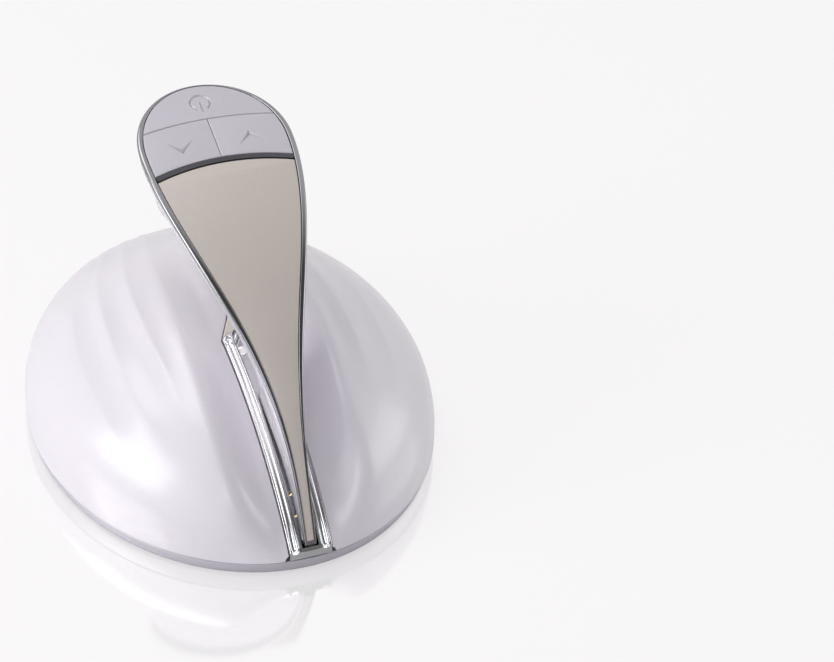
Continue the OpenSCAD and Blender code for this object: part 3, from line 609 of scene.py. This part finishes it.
def dome_at(x, y):
    fade = 1 - smooth((abs(x) - TROUGH_HW) / (VALLEY_HW - TROUGH_HW))
    return crown(x, y) * (1 - valley(y) * fade)


def hollow(t):
    """How deep a band is sunk at a share t of its width: gently down, then up to a sharp ridge."""
    if t < HOLLOW_LOW:
        return smooth(t / HOLLOW_LOW)
    return 1 - ((t - HOLLOW_LOW) / (1 - HOLLOW_LOW)) ** 2


def step_share(y):
    """The steps follow an oval of their own, given as a share of the base's."""
    v = min(STEP_OVAL_ENDS[1], max(STEP_OVAL_ENDS[0], y))
    return sqrt(1 - ((v - STEP_OVAL_Y) / STEP_OVAL_HL) ** 2) / (oval_half(v) * 2 / BASE_W)


def step_fade(y):
    at_back = smooth((y - STEP_BACK) / STEP_BACK_RUN)
    return smooth((y - STEP_FROM) / STEP_RUN) * mix(1.0, STEP_BACK_SHARE, at_back)


def slot_hw(y):
    """Half the width of the opening for the trough, and just past its blunt end, of that end."""
    share = clamp((TROUGH_BACK - y) / TROUGH_TAPER)
    return mix(TIP_HW, TROUGH_HW, share) + FIT_GAP


def dome_columns(steps, y):
    """(x, share of the step's height) from the slot's edge outwards."""
    hw = oval_half(y)
    slot = min(slot_hw(y), hw - SLOT_MARGIN if y < 0 else 0.3 * hw)
    room = hw - slot
    edges = [max(d / (BASE_W / 2) * step_share(y) * hw, slot + 0.08 * (k + 1) * room)
             for k, d in enumerate(steps)]
    columns = [(slot + roll * min(1.0, 0.1 * room), 0.0) for roll in EDGE_ROLLS]
    for low, high in zip([columns[-1][0]] + edges, edges):
        shares = [i / BAND_COLUMNS for i in range(1, BAND_COLUMNS + 1)]
        columns += [(mix(low, high, t), hollow(t)) for t in shares]
    return columns + [(mix(edges[-1], hw, s), 0.0) for s, _ in quarter(FLANK_COLUMNS)[1:]]


def slot_roll(x, y):
    """How far the dome's edge rolls down beside the slot."""
    r = EDGE_ROLLS[-1]
    beside = max(abs(x) - slot_hw(y), y - TROUGH_BACK - FIT_GAP)
    near = clamp((r - beside) / r)
    return r * (1 - sqrt(1 - near * near))


def dome_point(x, y, part):
    """A point of the dome, sunk towards its long axis by a part of the step's height."""
    z = dome_at(x, y)
    cut = STEP_H * part * step_fade(y) * smooth(z / 12) / max(1.0, hypot(x, z))
    return x * (1 - cut), y, z * (1 - cut)


def dome_rows():
    """Places of the dome's rows, closer at both ends and at the trough's corners."""
    half, back = BASE_L / 2, TROUGH_BACK + FIT_GAP
    first_hw = TROUGH_HW + FIT_GAP + SLOT_MARGIN
    first = FRONT_Y * sqrt(1 - (2 * first_hw / BASE_W) ** 2)
    corners = [TROUGH_BACK - TROUGH_TAPER] + [back + roll for roll in EDGE_ROLLS]
    ys = [-half * cos(pi * i / DOME_ROWS) for i in range(DOME_ROWS + 1)]
    ys = [y for y in ys if y > first + 0.1 and all(abs(y - s) > 0.25 for s in corners)]
    # Rows right beside the pole are too thin for a clean cut of the socket's hole
    return [y for y in sorted(ys + [first] + corners) if y < 0.998 * half or y > half - 1e-6]


def build_dome():
    """The shell-like dome: two grids of points, one for each side of its wall."""
    ys = dome_rows()
    bm = bmesh.new()
    outer, inner = [], []
    middle_shares = [i / 4 for i in range(-3, 4)]
    for y in ys[:-1]:
        left = [(-x, part) for x, part in dome_columns(LEFT_STEPS, y)]
        right = dome_columns(RIGHT_STEPS, y)
        middle = [(right[0][0] * m, 0.0) for m in middle_shares]
        out_row, in_row = [], []
        for x, part in left[::-1] + middle + right:
            px, py, pz = dome_point(x, y, part)
            edge = abs(x) > oval_half(y) - 1e-6
            pz = 0.0 if edge else max(0.0, pz - slot_roll(x, y))
            out_row.append(bm.verts.new((px, py, DOME_Z + pz)))
            inner_z = max(0.0, dome_at(x, y)) * (1 - DOME_WALL / DOME_H)
            in_row.append(bm.verts.new((
                x * (1 - 2 * DOME_WALL / BASE_W), y * (1 - 2 * DOME_WALL / BASE_L),
                DOME_Z + min(inner_z, max(0.0, pz - 0.6 * DOME_WALL)))))
        outer.append(out_row)
        inner.append(in_row)
    for grid, y in ((outer, BASE_L / 2), (inner, BASE_L / 2 - DOME_WALL)):
        grid.append([bm.verts.new((0.0, y, DOME_Z))] * len(outer[0]))
    first_middle = len(dome_columns(LEFT_STEPS, 0.0)) - 1
    last_middle = first_middle + len(middle_shares)
    slot_end = TROUGH_BACK + FIT_GAP + 1e-6
    close_shell(bm, outer, inner,
                lambda i, j: first_middle <= j <= last_middle and ys[i + 1] <= slot_end)
    dome = bmesh_object("dome", bm)
    low, high = SOCKET_HOLE_ENDS
    hole = [(0, low), (SOCKET_HOLE_R, low), (SOCKET_HOLE_R, high), (0, high)]
    carve(dome, [lathe("hole", hole, lambda x, y, z: (x, z, SOCKET_Z + y), 64)])
    finish_piece(dome, "stand", "dome_pearl", ["dome_shell"], sharp=42)


# ---- rim, feet and fixings

def on_oval(share, angle):
    turn = radians(angle)
    return BASE_W / 2 * share * cos(turn), BASE_L / 2 * share * sin(turn)


FOOT_SPOTS = [on_oval(0.74, a) for a in (48, 132, 228, 312)]
SCREW_SPOTS = [on_oval(0.925, a) for a in (35, 145, 215, 325)]


def build_rim():
    """The grey rim and the tray's underside, with recesses for feet and screws."""
    levels = [(RIM_LEAN + 1.0, FOOT_PROUD), (RIM_LEAN + 0.3, FOOT_PROUD + 0.15),
              (RIM_LEAN, FOOT_PROUD + 0.7)]
    levels += [(RIM_ROUND * (1 - c), RIM_Z - RIM_ROUND + RIM_ROUND * s) for s, c in quarter(6)]
    levels += [(RIM_ROUND + RIM_GROOVE_IN, RIM_Z - RIM_GROOVE_D),
               (RIM_LEDGE_IN, RIM_Z - RIM_GROOVE_D), (RIM_LEDGE_IN, FOOT_PROUD + TRAY_WALL)]
    steps = 240
    turns = [2 * pi * i / steps for i in range(steps)]
    rim = bmesh_object("rim", skin([
        [((BASE_W / 2 - inset) * cos(t), (BASE_L / 2 - inset) * sin(t), z) for t in turns]
        for inset, z in levels]))
    recess_r, well_r, hole_r = FOOT_R + 0.1, SCREW_HEAD_R + 0.1, SCREW_R + 0.06
    recess = [(0, -1), (recess_r, -1), (recess_r, FOOT_T), (0, FOOT_T)]
    well = [(0, -1), (well_r, -1), (well_r, SCREW_SEAT), (hole_r, SCREW_SEAT), (hole_r, 9), (0, 9)]
    cutters = [lathe("recess", recess, at_spot(x, y), 64) for x, y in FOOT_SPOTS]
    cutters += [lathe("well", well, at_spot(x, y), 48) for x, y in SCREW_SPOTS]
    carve(rim, cutters)
    finish_piece(rim, "stand", "tray_grey", ["base_tray"])


def repeat_tree():
    """Places a copy of one object on each point of a mesh, all in one material."""
    tree, given, out = new_group("repeat_on_points", "GeometryNodeTree", {
        "Spots": "Geometry", "Part": "Object", "Finish": "Material"}, {"Result": "Geometry"})
    info = tree.nodes.new("GeometryNodeObjectInfo")
    copies = tree.nodes.new("GeometryNodeInstanceOnPoints")
    real = tree.nodes.new("GeometryNodeRealizeInstances")
    finish = tree.nodes.new("GeometryNodeSetMaterial")
    wire(tree, (given, "Part", info, "Object"), (given, "Spots", copies, "Points"),
         (info, "Geometry", copies, "Instance"), (copies, "Instances", real, "Geometry"),
         (real, "Geometry", finish, "Geometry"), (given, "Finish", finish, "Material"),
         (finish, "Geometry", out, "Result"))
    return tree


REPEAT = repeat_tree()


def run_tree(obj, tree, **values):
    """Runs a geometry node tree on an object, and keeps what it makes."""
    modifier = obj.modifiers.new(tree.name, "NODES")
    modifier.node_group = tree
    for item in tree.interface.items_tree:
        if item.in_out == "INPUT" and item.name in values:
            modifier[item.identifier] = values[item.name]
    keep_result(obj)


def repeat_on(name, spots, part, slot):
    mesh = bpy.data.meshes.new(name)
    mesh.from_pydata([(x * MM, y * MM, 0.0) for x, y in spots], [], [])
    obj = add_object(name, mesh)
    run_tree(obj, REPEAT, Part=part, Finish=MATERIALS[slot])
    bpy.data.objects.remove(part)
    return obj


def build_feet():
    profile = [(0, 0), (FOOT_R - 0.8, 0), (FOOT_R - 0.3, 0.12), (FOOT_R - 0.08, 0.4),
               (FOOT_R, FOOT_PROUD), (FOOT_R, FOOT_T), (0, FOOT_T)]
    feet = repeat_on("feet", FOOT_SPOTS, lathe("foot", profile, steps=64), "foot_rubber")
    finish_piece(feet, "stand", "foot_rubber", ["rubber_feet"])


def build_base_screws():
    """The screws from below, each with a cross recess in its head."""
    profile = [(0, FOOT_PROUD), (SCREW_HEAD_R - 0.3, FOOT_PROUD), (SCREW_HEAD_R, FOOT_PROUD + 0.2),
               (SCREW_HEAD_R, SCREW_SEAT), (SCREW_R, SCREW_SEAT), (SCREW_R, SCREW_END - 0.2),
               (SCREW_R - 0.3, SCREW_END), (0, SCREW_END)]
    screw = lathe("screw", profile, steps=48)
    reach, half_slot = 1.6, 0.32
    arms = []
    for wide, deep in ((reach, half_slot), (half_slot, reach)):
        bm = bmesh.new()
        bmesh.ops.create_cube(bm, size=2.0)
        bm.transform(Matrix.Translation((0, 0, FOOT_PROUD)) @ Matrix.Diagonal((wide, deep, 1, 1)))
        arms.append(bmesh_object("arm", bm))
    carve(screw, arms)
    screws = repeat_on("base_fixings", SCREW_SPOTS, screw, "screw_steel")
    finish_piece(screws, "stand", "screw_steel", ["base_screws"])


# ---- the trough's bright cradle

def build_cradle():
    """A bent strip with its front on the rim's oval, and scoops, channel and tail slot cut in."""
    # (side, depth, inset) round the section; the underside is without a depth
    half = [(-1.0, CRADLE_ROUND * (1 - s), CRADLE_ROUND * (1 - c)) for s, c in quarter(4)]
    section = half + [(i / 5, 0.0, 0.0) for i in range(-4, 5)]
    section += [(-side, depth, inset) for side, depth, inset in reversed(half)]
    section += [(1.0, None, 0.0), (-1.0, None, 0.0)]
    rows = []
    for i in range(151):
        share = i / 150
        blunt = clamp((TROUGH_BACK - mix(FRONT_Y, TROUGH_BACK, share)) / TROUGH_TAPER)
        hw = mix(TIP_HW, TROUGH_HW, blunt) - CRADLE_EASE
        row = []
        for side, depth, inset in section:
            x = side * hw if inset == 0 else copysign(hw - inset, side)
            front = -BASE_L / 2 * sqrt(1 - (2 * x / BASE_W) ** 2)
            y = mix(front, TROUGH_BACK, share)
            z = max(DOME_Z, lip_z(y, LIP_R - CRADLE_R)) if depth is None else lip_z(y, depth)
            row.append((x, y, z))
        rows.append(row)
    cradle = bmesh_object("bright_cradle", skin(rows))

    front, rear = [LIP_FRONT_ANGLE + a for a in SCOOP_SPAN]
    cutters = [scoop(side * SCOOP_X, front, rear) for side in (-1, 1)]
    front, rear = [lip_y(LIP_FRONT_ANGLE + a) for a in CHANNEL_SPAN]
    cutters.append(floor_cutter(round_ended(CHANNEL_HW, front, rear), spread(front, rear, 1.2)))
    front = lip_y(LIP_FRONT_ANGLE + TAIL_SLOT_FROM)
    rear = front + TAIL_SLOT_L
    slot = [(-TAIL_SLOT_HW, front), (TAIL_SLOT_HW, front),
            (TAIL_SLOT_HW, rear), (-TAIL_SLOT_HW, rear)]
    cutters.append(floor_cutter(slot, spread(front, rear, 0.8)))
    carve(cradle, cutters)
    finish_piece(cradle, "stand", "chrome", ["cradle"], sharp=30)


def scoop(x, from_angle, to_angle):
    """A round-ended tube along the trough's arc."""
    r = LIP_R - SCOOP_SUNK
    steps, ends, sides = 90, 10, 32
    turns = [pi / 2 * (i + 0.02) / ends for i in range(ends)]
    stations = [(from_angle, -SCOOP_R * cos(t), SCOOP_R * sin(t)) for t in turns]
    stations += [(mix(from_angle, to_angle, i / steps), 0.0, SCOOP_R) for i in range(steps + 1)]
    stations += [(to_angle, SCOOP_R * cos(t), SCOOP_R * sin(t)) for t in turns[::-1]]
    rings = []
    for angle, along, radius in stations:
        turn = radians(angle) + along / r
        ring = []
        for j in range(sides):
            spin = 2 * pi * j / sides
            here = r + radius * sin(spin)
            ring.append((x + radius * cos(spin), LIP_CY - here * cos(turn),
                         LIP_CZ + here * sin(turn)))
        rings.append(ring)
    return bmesh_object("scoop", skin(rings))


def round_ended(hw, front, rear):
    """A slot's outline with half-round ends."""
    turns = [pi * i / 20 for i in range(21)]
    return ([(hw * cos(pi + t), front + hw + hw * sin(pi + t)) for t in turns]
            + [(hw * cos(t), rear - hw + hw * sin(t)) for t in turns])


def floor_cutter(outline, cuts):
    return slab("floor", outline, [(0, CHANNEL_D), (0, -8.0)], on_trough, cuts)


# ---- handset: the face

FACE_STEP = 1.5


def build_panel():
    top = strip_bow(-STRIP_W / 2 - TRIM_GAP)
    x, u = top.side(TRIM_INSET)
    tail = TAIL_U + inset_at(TAIL_U, TRIM_INSET)
    right = side_line(TRIM_INSET, tail, u, 90)
    outline = without_repeats(right + top.across(x, -x, 40)[1:-1] + mirrored(right))
    levels = rounded_edge(PANEL_T + PANEL_SUNK, PANEL_SUNK, PANEL_ROUND, 3)
    panel = slab("panel", outline, levels, on_face, spread(tail, u + 4, FACE_STEP))
    finish_piece(panel, "handset", "panel_champagne", ["face_panel"])


def build_power_key():
    low = power_bow(KEY_GAP)
    x, u = low.side(TRIM_INSET)
    outline = without_repeats(head_arc(TRIM_INSET, u, 72) + low.across(-x, x, 40)[1:-1])
    levels = rounded_edge(CAP_T, 0.0, CAP_ROUND)
    key = slab("power_cap", outline, levels, on_face, spread(u - 2, HEAD_UP, FACE_STEP))
    carve(key, power_mark())
    add_post(key, 0.0, POWER_POST_U)
    finish_piece(key, "power_key", "key_satin", ["power_key"], sharp=14)


def build_low_key(name, side):
    low, high = strip_bow(STRIP_W / 2 + TRIM_GAP), power_bow(-KEY_GAP)
    x_low, u_low = low.side(TRIM_INSET)
    x_high, u_high = high.side(TRIM_INSET)
    outline = without_repeats(
        low.across(KEY_GAP, x_low, 24) + side_line(TRIM_INSET, u_low, u_high, 24)[1:]
        + high.across(x_high, KEY_GAP, 24)[1:])
    if side < 0:
        outline = mirrored(outline)
    levels = rounded_edge(CAP_T, 0.0, CAP_ROUND)
    cuts = spread(-STRIP_DROP - 4, POWER_RISE, FACE_STEP)
    key = slab(name + "_cap", outline, levels, on_face, cuts)
    carve(key, [chevron(side)])
    add_post(key, side * LOW_POST_X, LOW_POST_U)
    finish_piece(key, name, "key_satin", [name], sharp=14)


def add_post(key, x, u):
    """The stem under a key that reaches its switch."""
    top = 0.2 - CAP_T
    profile = [(0, POST_END), (POST_R - POST_ROUND, POST_END), (POST_R, POST_END + POST_ROUND),
               (POST_R, top), (0, top)]
    post = lathe("post", profile, lambda a, b, c: at_head(x + a, u + b, c), 40)
    joined = bmesh.new()
    joined.from_mesh(key.data)
    joined.from_mesh(post.data)
    joined.to_mesh(key.data)
    joined.free()
    bpy.data.objects.remove(post)


def groove(path, width):
    """A cutter for a groove of V section along a path on the face, shallow at both ends."""
    rings = []
    last = len(path) - 1
    for i, (x, u) in enumerate(path):
        x0, u0 = path[max(0, i - 1)]
        x1, u1 = path[min(last, i + 1)]
        side = Vector((u0 - u1, x1 - x0)).normalized() * width / 2
        low = 0.05 if i in (0, last) else MARK_DEPTH
        section = ((-1, -MARK_OVER), (1, -MARK_OVER), (1, 0.0), (0, low), (-1, 0.0))
        rings.append([on_face(x + a * side.x, u + a * side.y, depth) for a, depth in section])
    return bmesh_object("groove", skin(rings))


def power_mark():
    r, open_from, open_to = 3.6, -62, 242
    centre_u = -STRIP_DROP + POWER_RISE + 8.2
    turns = [radians(mix(open_from, open_to, i / 48)) for i in range(49)]
    ring = [(r * cos(t), centre_u + r * sin(t)) for t in turns]
    stem = [(0.0, centre_u + 0.4 - 5.0 * i / 6) for i in range(7)]
    return [groove(ring, 1.1), groove(stem, 1.0)]


def chevron(side):
    """A mark with tapering arms, deepest at its middle: up on the right, down on the left."""
    reach, rise, thick = 4.9, 5.8, 2.5
    cx, cu = side * 12.8, -STRIP_DROP + POWER_RISE - 11.2
    corners = [(-reach, 0.0), (0.0, rise - thick), (reach, 0.0), (0.0, rise)]
    turned = [(cx + x, cu + side * (u - rise / 2)) for x, u in corners]
    bm = bmesh.new()
    top, face = [[bm.verts.new(on_face(x, u, depth)) for x, u in turned]
                 for depth in (-MARK_OVER, 0.0)]
    middle = bm.verts.new(on_face(cx, cu + side * (rise / 2 - thick / 2), 1.8 * MARK_DEPTH))
    bm.faces.new(top)
    for i in range(4):
        k = (i + 1) % 4
        bm.faces.new((top[i], top[k], face[k], face[i]))
        bm.faces.new((face[i], face[k], middle))
    return bmesh_object("chevron", bm)


def sweep_tree():
    """A flat strip with rounded edges, swept along an arc."""
    inputs = dict.fromkeys(("Radius", "Sweep", "Width", "Height", "Edge"), "Float")
    tree, given, out = new_group("swept_strip", "GeometryNodeTree", {
        **inputs, "Finish": "Material"}, {"Result": "Geometry"})
    arc = add_node(tree, "GeometryNodeCurveArc", [("Resolution", 64)])
    half = add_node(tree, "ShaderNodeMath", [(1, -0.5)], operation="MULTIPLY")
    upright = add_node(tree, "ShaderNodeMath", [(1, pi / 2)], operation="ADD")
    profile = tree.nodes.new("GeometryNodeCurvePrimitiveQuadrilateral")
    fillet = add_node(tree, "GeometryNodeFilletCurve", mode="POLY")
    fillet.inputs["Count"].default_value = 4
    sweep = add_node(tree, "GeometryNodeCurveToMesh", [("Fill Caps", True)])
    real = tree.nodes.new("GeometryNodeRealizeInstances")
    finish = tree.nodes.new("GeometryNodeSetMaterial")
    wire(tree, (given, "Radius", arc, "Radius"), (given, "Sweep", arc, "Sweep Angle"),
         (given, "Sweep", half, 0), (half, 0, upright, 0), (upright, 0, arc, "Start Angle"),
         (given, "Width", profile, "Width"), (given, "Height", profile, "Height"),
         (profile, "Curve", fillet, "Curve"), (given, "Edge", fillet, "Radius"),
         (arc, "Curve", sweep, "Curve"), (fillet, "Curve", sweep, "Profile Curve"),
         (sweep, "Mesh", real, "Geometry"), (real, "Geometry", finish, "Geometry"),
         (given, "Finish", finish, "Material"), (finish, "Geometry", out, "Result"))
    return tree


def build_strip():
    """The bowed dark strip between the panel and the keys."""
    x, _ = strip_bow().side(TRIM_INSET)
    top, bottom = 0.05, CAP_T + 0.3
    obj = add_object("bowed_strip", bpy.data.meshes.new("bowed_strip"))
    run_tree(obj, sweep_tree(), Radius=STRIP_BOW_R, Sweep=2 * asin(x / STRIP_BOW_R),
             Width=STRIP_W, Height=bottom - top, Edge=0.28, Finish=MATERIALS["chrome"])
    middle = (top + bottom) / 2
    for vert in obj.data.vertices:
        vx, vy, vz = vert.co
        vert.co = Vector(on_face(vx, vy - STRIP_DROP - STRIP_BOW_R, middle - vz)) * MM
    # The strip's chrome is given the near-black copy: painted shade in its colour
    finish_piece(obj, "handset", "chrome", ["key_strip"], look="chrome_painted_deep_shade")


def face_loop(inset):
    """The face's outline drawn in by inset, with as many points for every inset."""
    tail = TAIL_U + inset_at(TAIL_U, inset)
    right = side_line(inset, tail, 0.0, 110)
    return right + head_arc(inset, 0.0, 90)[1:-1] + mirrored(right)


def build_frame():
    """The frame: a rounded section carried round the face, with the ledge under panel and keys."""
    _, keys_from = strip_bow().side(FRAME_W)
    ledge = FRAME_W + FRAME_LEDGE_W

    def side_depth(u):
        return FRAME_D - SIDE_TAPER * clamp(-u / FACE_R)

    def ledge_depth(u):
        under = PANEL_T + FIT_GAP if u < keys_from else CAP_T + KEY_TRAVEL + 0.3
        return min(under, side_depth(u) - 0.2)

    def level(depth):
        return lambda u: depth

    levels = [(SEAM_INSET + 0.25, side_depth), (SEAM_INSET, lambda u: side_depth(u) - 0.25)]
    levels += [(OUTER_EASE + FRAME_OUTER_R * (1 - c), level(FRAME_OUTER_R * (1 - s)))
               for s, c in quarter(6)]
    levels += [(FRAME_W - FRAME_INNER_R * (1 - s), level(FRAME_INNER_R * (1 - c)))
               for s, c in quarter(4)]
    levels += [(FRAME_W, ledge_depth), (ledge, ledge_depth), (ledge, side_depth)]
    loops = [[on_face(x, u, depth(u)) for x, u in face_loop(inset)] for inset, depth in levels]
    face_frame = bmesh_object("bright_frame", skin(loops, around=True))
    # The frame takes the darkened chrome copy: painted shade in its colour in place of dark
    # reflections
    finish_piece(face_frame, "handset", "chrome", ["side_frame"], sharp=32, look="chrome_painted_shade")


# ---- handset: the back

def to_circle(a, r):
    """Depth below the face, square to it, at which the trough's circle of radius r is met."""
    y, z = -FACE_R * sin(a), FACE_R * cos(a)
    dy, dz = y - LIP_U, z - LIP_N - FACE_R
    along = sin(a) * dy - cos(a) * dz
    gap2 = dy * dy + dz * dz - r * r
    return -along - sqrt(max(0.0, along * along - gap2))


def seam_at(a):
    return SEAM_D - SIDE_TAPER * sin(a)


def body_depth(a, u):
    """Depth of the back's middle line without its keel."""
    full = mix(NECK_D, HEAD_D, smooth((u - NECK_FROM) / NECK_RUN))
    ridge = max(seam_at(a) + 0.4, min(full, to_circle(a, RIDGE_R)))
    share = max(0.0, min(1.0, u / HEAD_UP))
    return mix(seam_at(a), ridge, (1 - share ** FLAT_POWER) ** (1 / SIDE_POWER))


def keel_depth(a, u):
    start, end = KEEL_FADE
    fade = 1 - smooth((HANDLE_RUN - a * FACE_R - start) / (end - start))
    return max(0.0, (to_circle(a, KEEL_R) - body_depth(a, u)) * fade)


def shell_section(a, u):
    """(x, depth) of the back across one place of the face."""
    w = max(0.05, half_w(u) - inset_at(u, SEAM_INSET))
    k = min(KEEL_HW, KEEL_SHARE * w)
    top = seam_at(a)
    deep = body_depth(a, u) - top
    fin = keel_depth(a, u)
    half = [(t * k, fin * (1 - t ** 8) ** 0.4)
            for t in (0.0, 0.2, 0.4, 0.6, 0.75, 0.85, 0.92, 0.97, 1.0)]
    half += [(k + (w - k) * s, 0.0) for s, _ in quarter(20)[1:]]
    points = [(x, top + deep * max(0.0, 1 - (x / w) ** FLAT_POWER) ** (1 / SIDE_POWER) + f)
              for x, f in half]
    return mirrored(points)[:-1] + points


def build_back():
    """The pearl back, lofted from sections square to the face's arc."""
    us = [TAIL_U * (1 - i / 110) for i in range(110)]
    us += [head_reach(SEAM_INSET)[1] * sin(radians(89.6) * i / 40) for i in range(41)]
    rings = []
    for u in us:
        a = -asin(u / FACE_R)
        rings.append([at_head(x, (depth - FACE_R) * sin(a),
                              (FACE_R - depth) * cos(a) - FACE_R)
                      for x, depth in shell_section(a, u)])
    back = bmesh_object("pearl_back", skin(rings))
    bore_r, below, above = RING_R + 0.25, -34, -14
    bore = [(0, below), (bore_r, below), (bore_r, above), (0, above)]
    carve(back, [lathe("bore", bore, at_head, 128)])
    finish_piece(back, "handset", "shell_pearl", ["rear_shell"], sharp=34)


def build_treatment_ring():
    bottom, top = RING_BOTTOM, RING_TOP
    seat, shelf = bottom + SEAT_STEP, top - RING_LEDGE_T
    bore = RING_R - RING_WALL
    profile = [(RING_R, top)] + [(RING_R - RING_ROUND * (1 - c), bottom + RING_ROUND * (1 - s))
                                 for s, c in quarter(5)]
    profile += [(bore + 0.5, bottom), (bore + 0.15, bottom + 0.15), (bore, bottom + 0.5),
                (bore, seat), (bore - RING_LEDGE, seat), (bore - RING_LEDGE, shelf),
                (RING_BORE_R, shelf), (RING_BORE_R, top)]
    ring = lathe("head_ring", profile, at_head)
    finish_piece(ring, "handset", "chrome", ["treatment_ring"], sharp=32)


def build_electrode():
    """The gently domed disc in the ring's mouth."""
    r = RING_R - RING_WALL - 0.1
    back = RING_BOTTOM + SEAT_STEP - SEAL_T
    edge, edge_r = back - 1.2, r - 0.2
    rise = DISH_R - sqrt(DISH_R ** 2 - r * r)
    profile = [(0, back), (r, back), (r, back - 1.0), (edge_r, edge)]
    for i in range(1, 25):
        x = edge_r * (1 - i / 24)
        profile.append((x, edge - rise + DISH_R - sqrt(DISH_R ** 2 - x * x)))
    disc = lathe("electrode", profile, at_head)
    finish_piece(disc, "handset", "electrode_steel", ["electrode_plate"], sharp=32)


# ---- everything, then the other solids

build_dome()
build_rim()
build_feet()
build_base_screws()
build_cradle()
build_frame()
build_panel()
build_strip()
build_power_key()
build_low_key("down_key", -1)
build_low_key("up_key", 1)
build_back()
build_treatment_ring()
build_electrode()

for entry in frame["record"]["subparts"]:
    solid = frame["nodes"][entry["node"]]
    for holder in solid.material_slots:
        holder.material = MATERIALS[entry["material_slot"]]

# ---- studio

BACKGROUND = (0.973, 0.956, 0.958)
TABLE, TABLE_GLOW, TABLE_HALF = (1.0, 0.985, 0.99), 1.05, 6.0
PLAIN_SHARE, MIRROR_SHARE = 0.56, 0.54


def floor_material():
    """A white gloss table: mostly plain white to the camera, with some shade and a faint mirror."""
    mat = bpy.data.materials.new("table_white")
    mat.use_nodes = True
    tree = mat.node_tree
    shade = tree.nodes["Principled BSDF"]
    shade.inputs["Base Color"].default_value = (0.80, 0.79, 0.80, 1)
    shade.inputs["Roughness"].default_value = 0.9
    mirror = add_node(tree, "ShaderNodeBsdfGlossy", (
        ("Color", (0.98, 0.965, 0.99, 1)), ("Roughness", 0.08)))
    white = add_node(tree, "ShaderNodeEmission", (("Color", (*TABLE, 1)), ("Strength", TABLE_GLOW)))
    lit = add_node(tree, "ShaderNodeMixShader", [("Fac", MIRROR_SHARE)])
    path = tree.nodes.new("ShaderNodeLightPath")
    share = add_node(tree, "ShaderNodeMath", [(1, PLAIN_SHARE)], operation="MULTIPLY")
    blend = tree.nodes.new("ShaderNodeMixShader")
    wire(tree, (shade, "BSDF", lit, 1), (mirror, "BSDF", lit, 2),
         (path, "Is Camera Ray", share, 0), (share, 0, blend, "Fac"),
         (lit, "Shader", blend, 1), (white, "Emission", blend, 2),
         (blend, "Shader", tree.nodes["Material Output"], "Surface"))
    return mat


table_mesh = bpy.data.meshes.new("table")
table_mesh.from_pydata([(x * TABLE_HALF, y * TABLE_HALF, 0) for x, y in (
    (-1, -1), (1, -1), (1, 1), (-1, 1))], [], [(0, 1, 2, 3)])
table_mesh.materials.append(floor_material())
table = add_object("table", table_mesh)

OBJECT_MIDDLE = Vector((0, 0, 0.05))


def soft_light(name, place, size_x, size_y, power, color=(1, 1, 1)):
    """An area light of a size in metres and a power in watts, aimed at the middle of the object."""
    lamp = bpy.data.lights.new(name, "AREA")
    lamp.shape = "RECTANGLE"
    lamp.size = size_x
    lamp.size_y = size_y
    lamp.energy = power
    lamp.color = color
    obj = add_object(name, lamp)
    obj.location = place
    obj.rotation_euler = (Vector(place) - OBJECT_MIDDLE).to_track_quat("Z", "Y").to_euler()


soft_light("left_window", (-1.21, -0.05, 0.55), 0.8, 0.7, 7.6)
soft_light("overhead", (-0.35, 0.45, 1.30), 0.8, 0.8, 4.4)
soft_light("right_fill", (1.30, -0.25, 0.35), 0.9, 0.6, 2.9)
soft_light("front_spot", (-0.40, -1.15, 0.90), 0.55, 0.55, 2.4, (0.90, 0.93, 1.0))

# Dim to matt surfaces, bright to mirrors but for a dark card, and plain to the camera
WORLD_DIM = 0.34
CARD_TOWARDS, CARD_EDGE, CARD_TONES = (0.10, -0.79, 0.60), (0.60, 0.84), (1.0, 0.14)

world = bpy.data.worlds.new("studio")
bpy.context.scene.world = world
world.use_nodes = True
sky = world.node_tree
backdrop = sky.nodes["Background"]
direction = sky.nodes.new("ShaderNodeTexCoord")
forward = add_node(sky, "ShaderNodeVectorMath", operation="DOT_PRODUCT")
forward.inputs[1].default_value = CARD_TOWARDS
dark_card = add_node(sky, "ShaderNodeMapRange", (
    ("From Min", CARD_EDGE[0]), ("From Max", CARD_EDGE[1]),
    ("To Min", CARD_TONES[0]), ("To Max", CARD_TONES[1])))
around = add_node(sky, "ShaderNodeMix", [("A", WORLD_DIM)], data_type="FLOAT")
rays = sky.nodes.new("ShaderNodeLightPath")
plain_sky = add_node(sky, "ShaderNodeBackground", [("Color", (*BACKGROUND, 1))])
choose = sky.nodes.new("ShaderNodeMixShader")
wire(sky, (direction, "Generated", forward, 0), (forward, "Value", dark_card, "Value"),
     (rays, "Is Glossy Ray", around, "Factor"), (dark_card, "Result", around, "B"),
     (around, "Result", backdrop, "Color"), (rays, "Is Camera Ray", choose, "Fac"),
     (backdrop, "Background", choose, 1), (plain_sky, "Background", choose, 2),
     (choose, "Shader", sky.nodes["World Output"], "Surface"))

bpy.context.scene.view_settings.view_transform = "Standard"

# Camera at the photograph's viewing angle, in metres: the axes are its right, up and back
CAMERA_PLACE = (-0.23668, -0.72421, 0.60295)
CAMERA_AXES = ((0.92881, -0.36834, 0.04044), (0.18837, 0.56332, 0.80448),
               (-0.31910, -0.73959, 0.59260))
CAMERA_LENS = 110.21
camera_data = bpy.data.cameras.new("camera")
camera_data.sensor_width = 36.0
camera_data.lens = CAMERA_LENS
camera_data.clip_start = 0.01
camera = add_object("camera", camera_data)
camera.matrix_world = Matrix.Translation(CAMERA_PLACE) @ Matrix(CAMERA_AXES).transposed().to_4x4()
bpy.context.scene.camera = camera
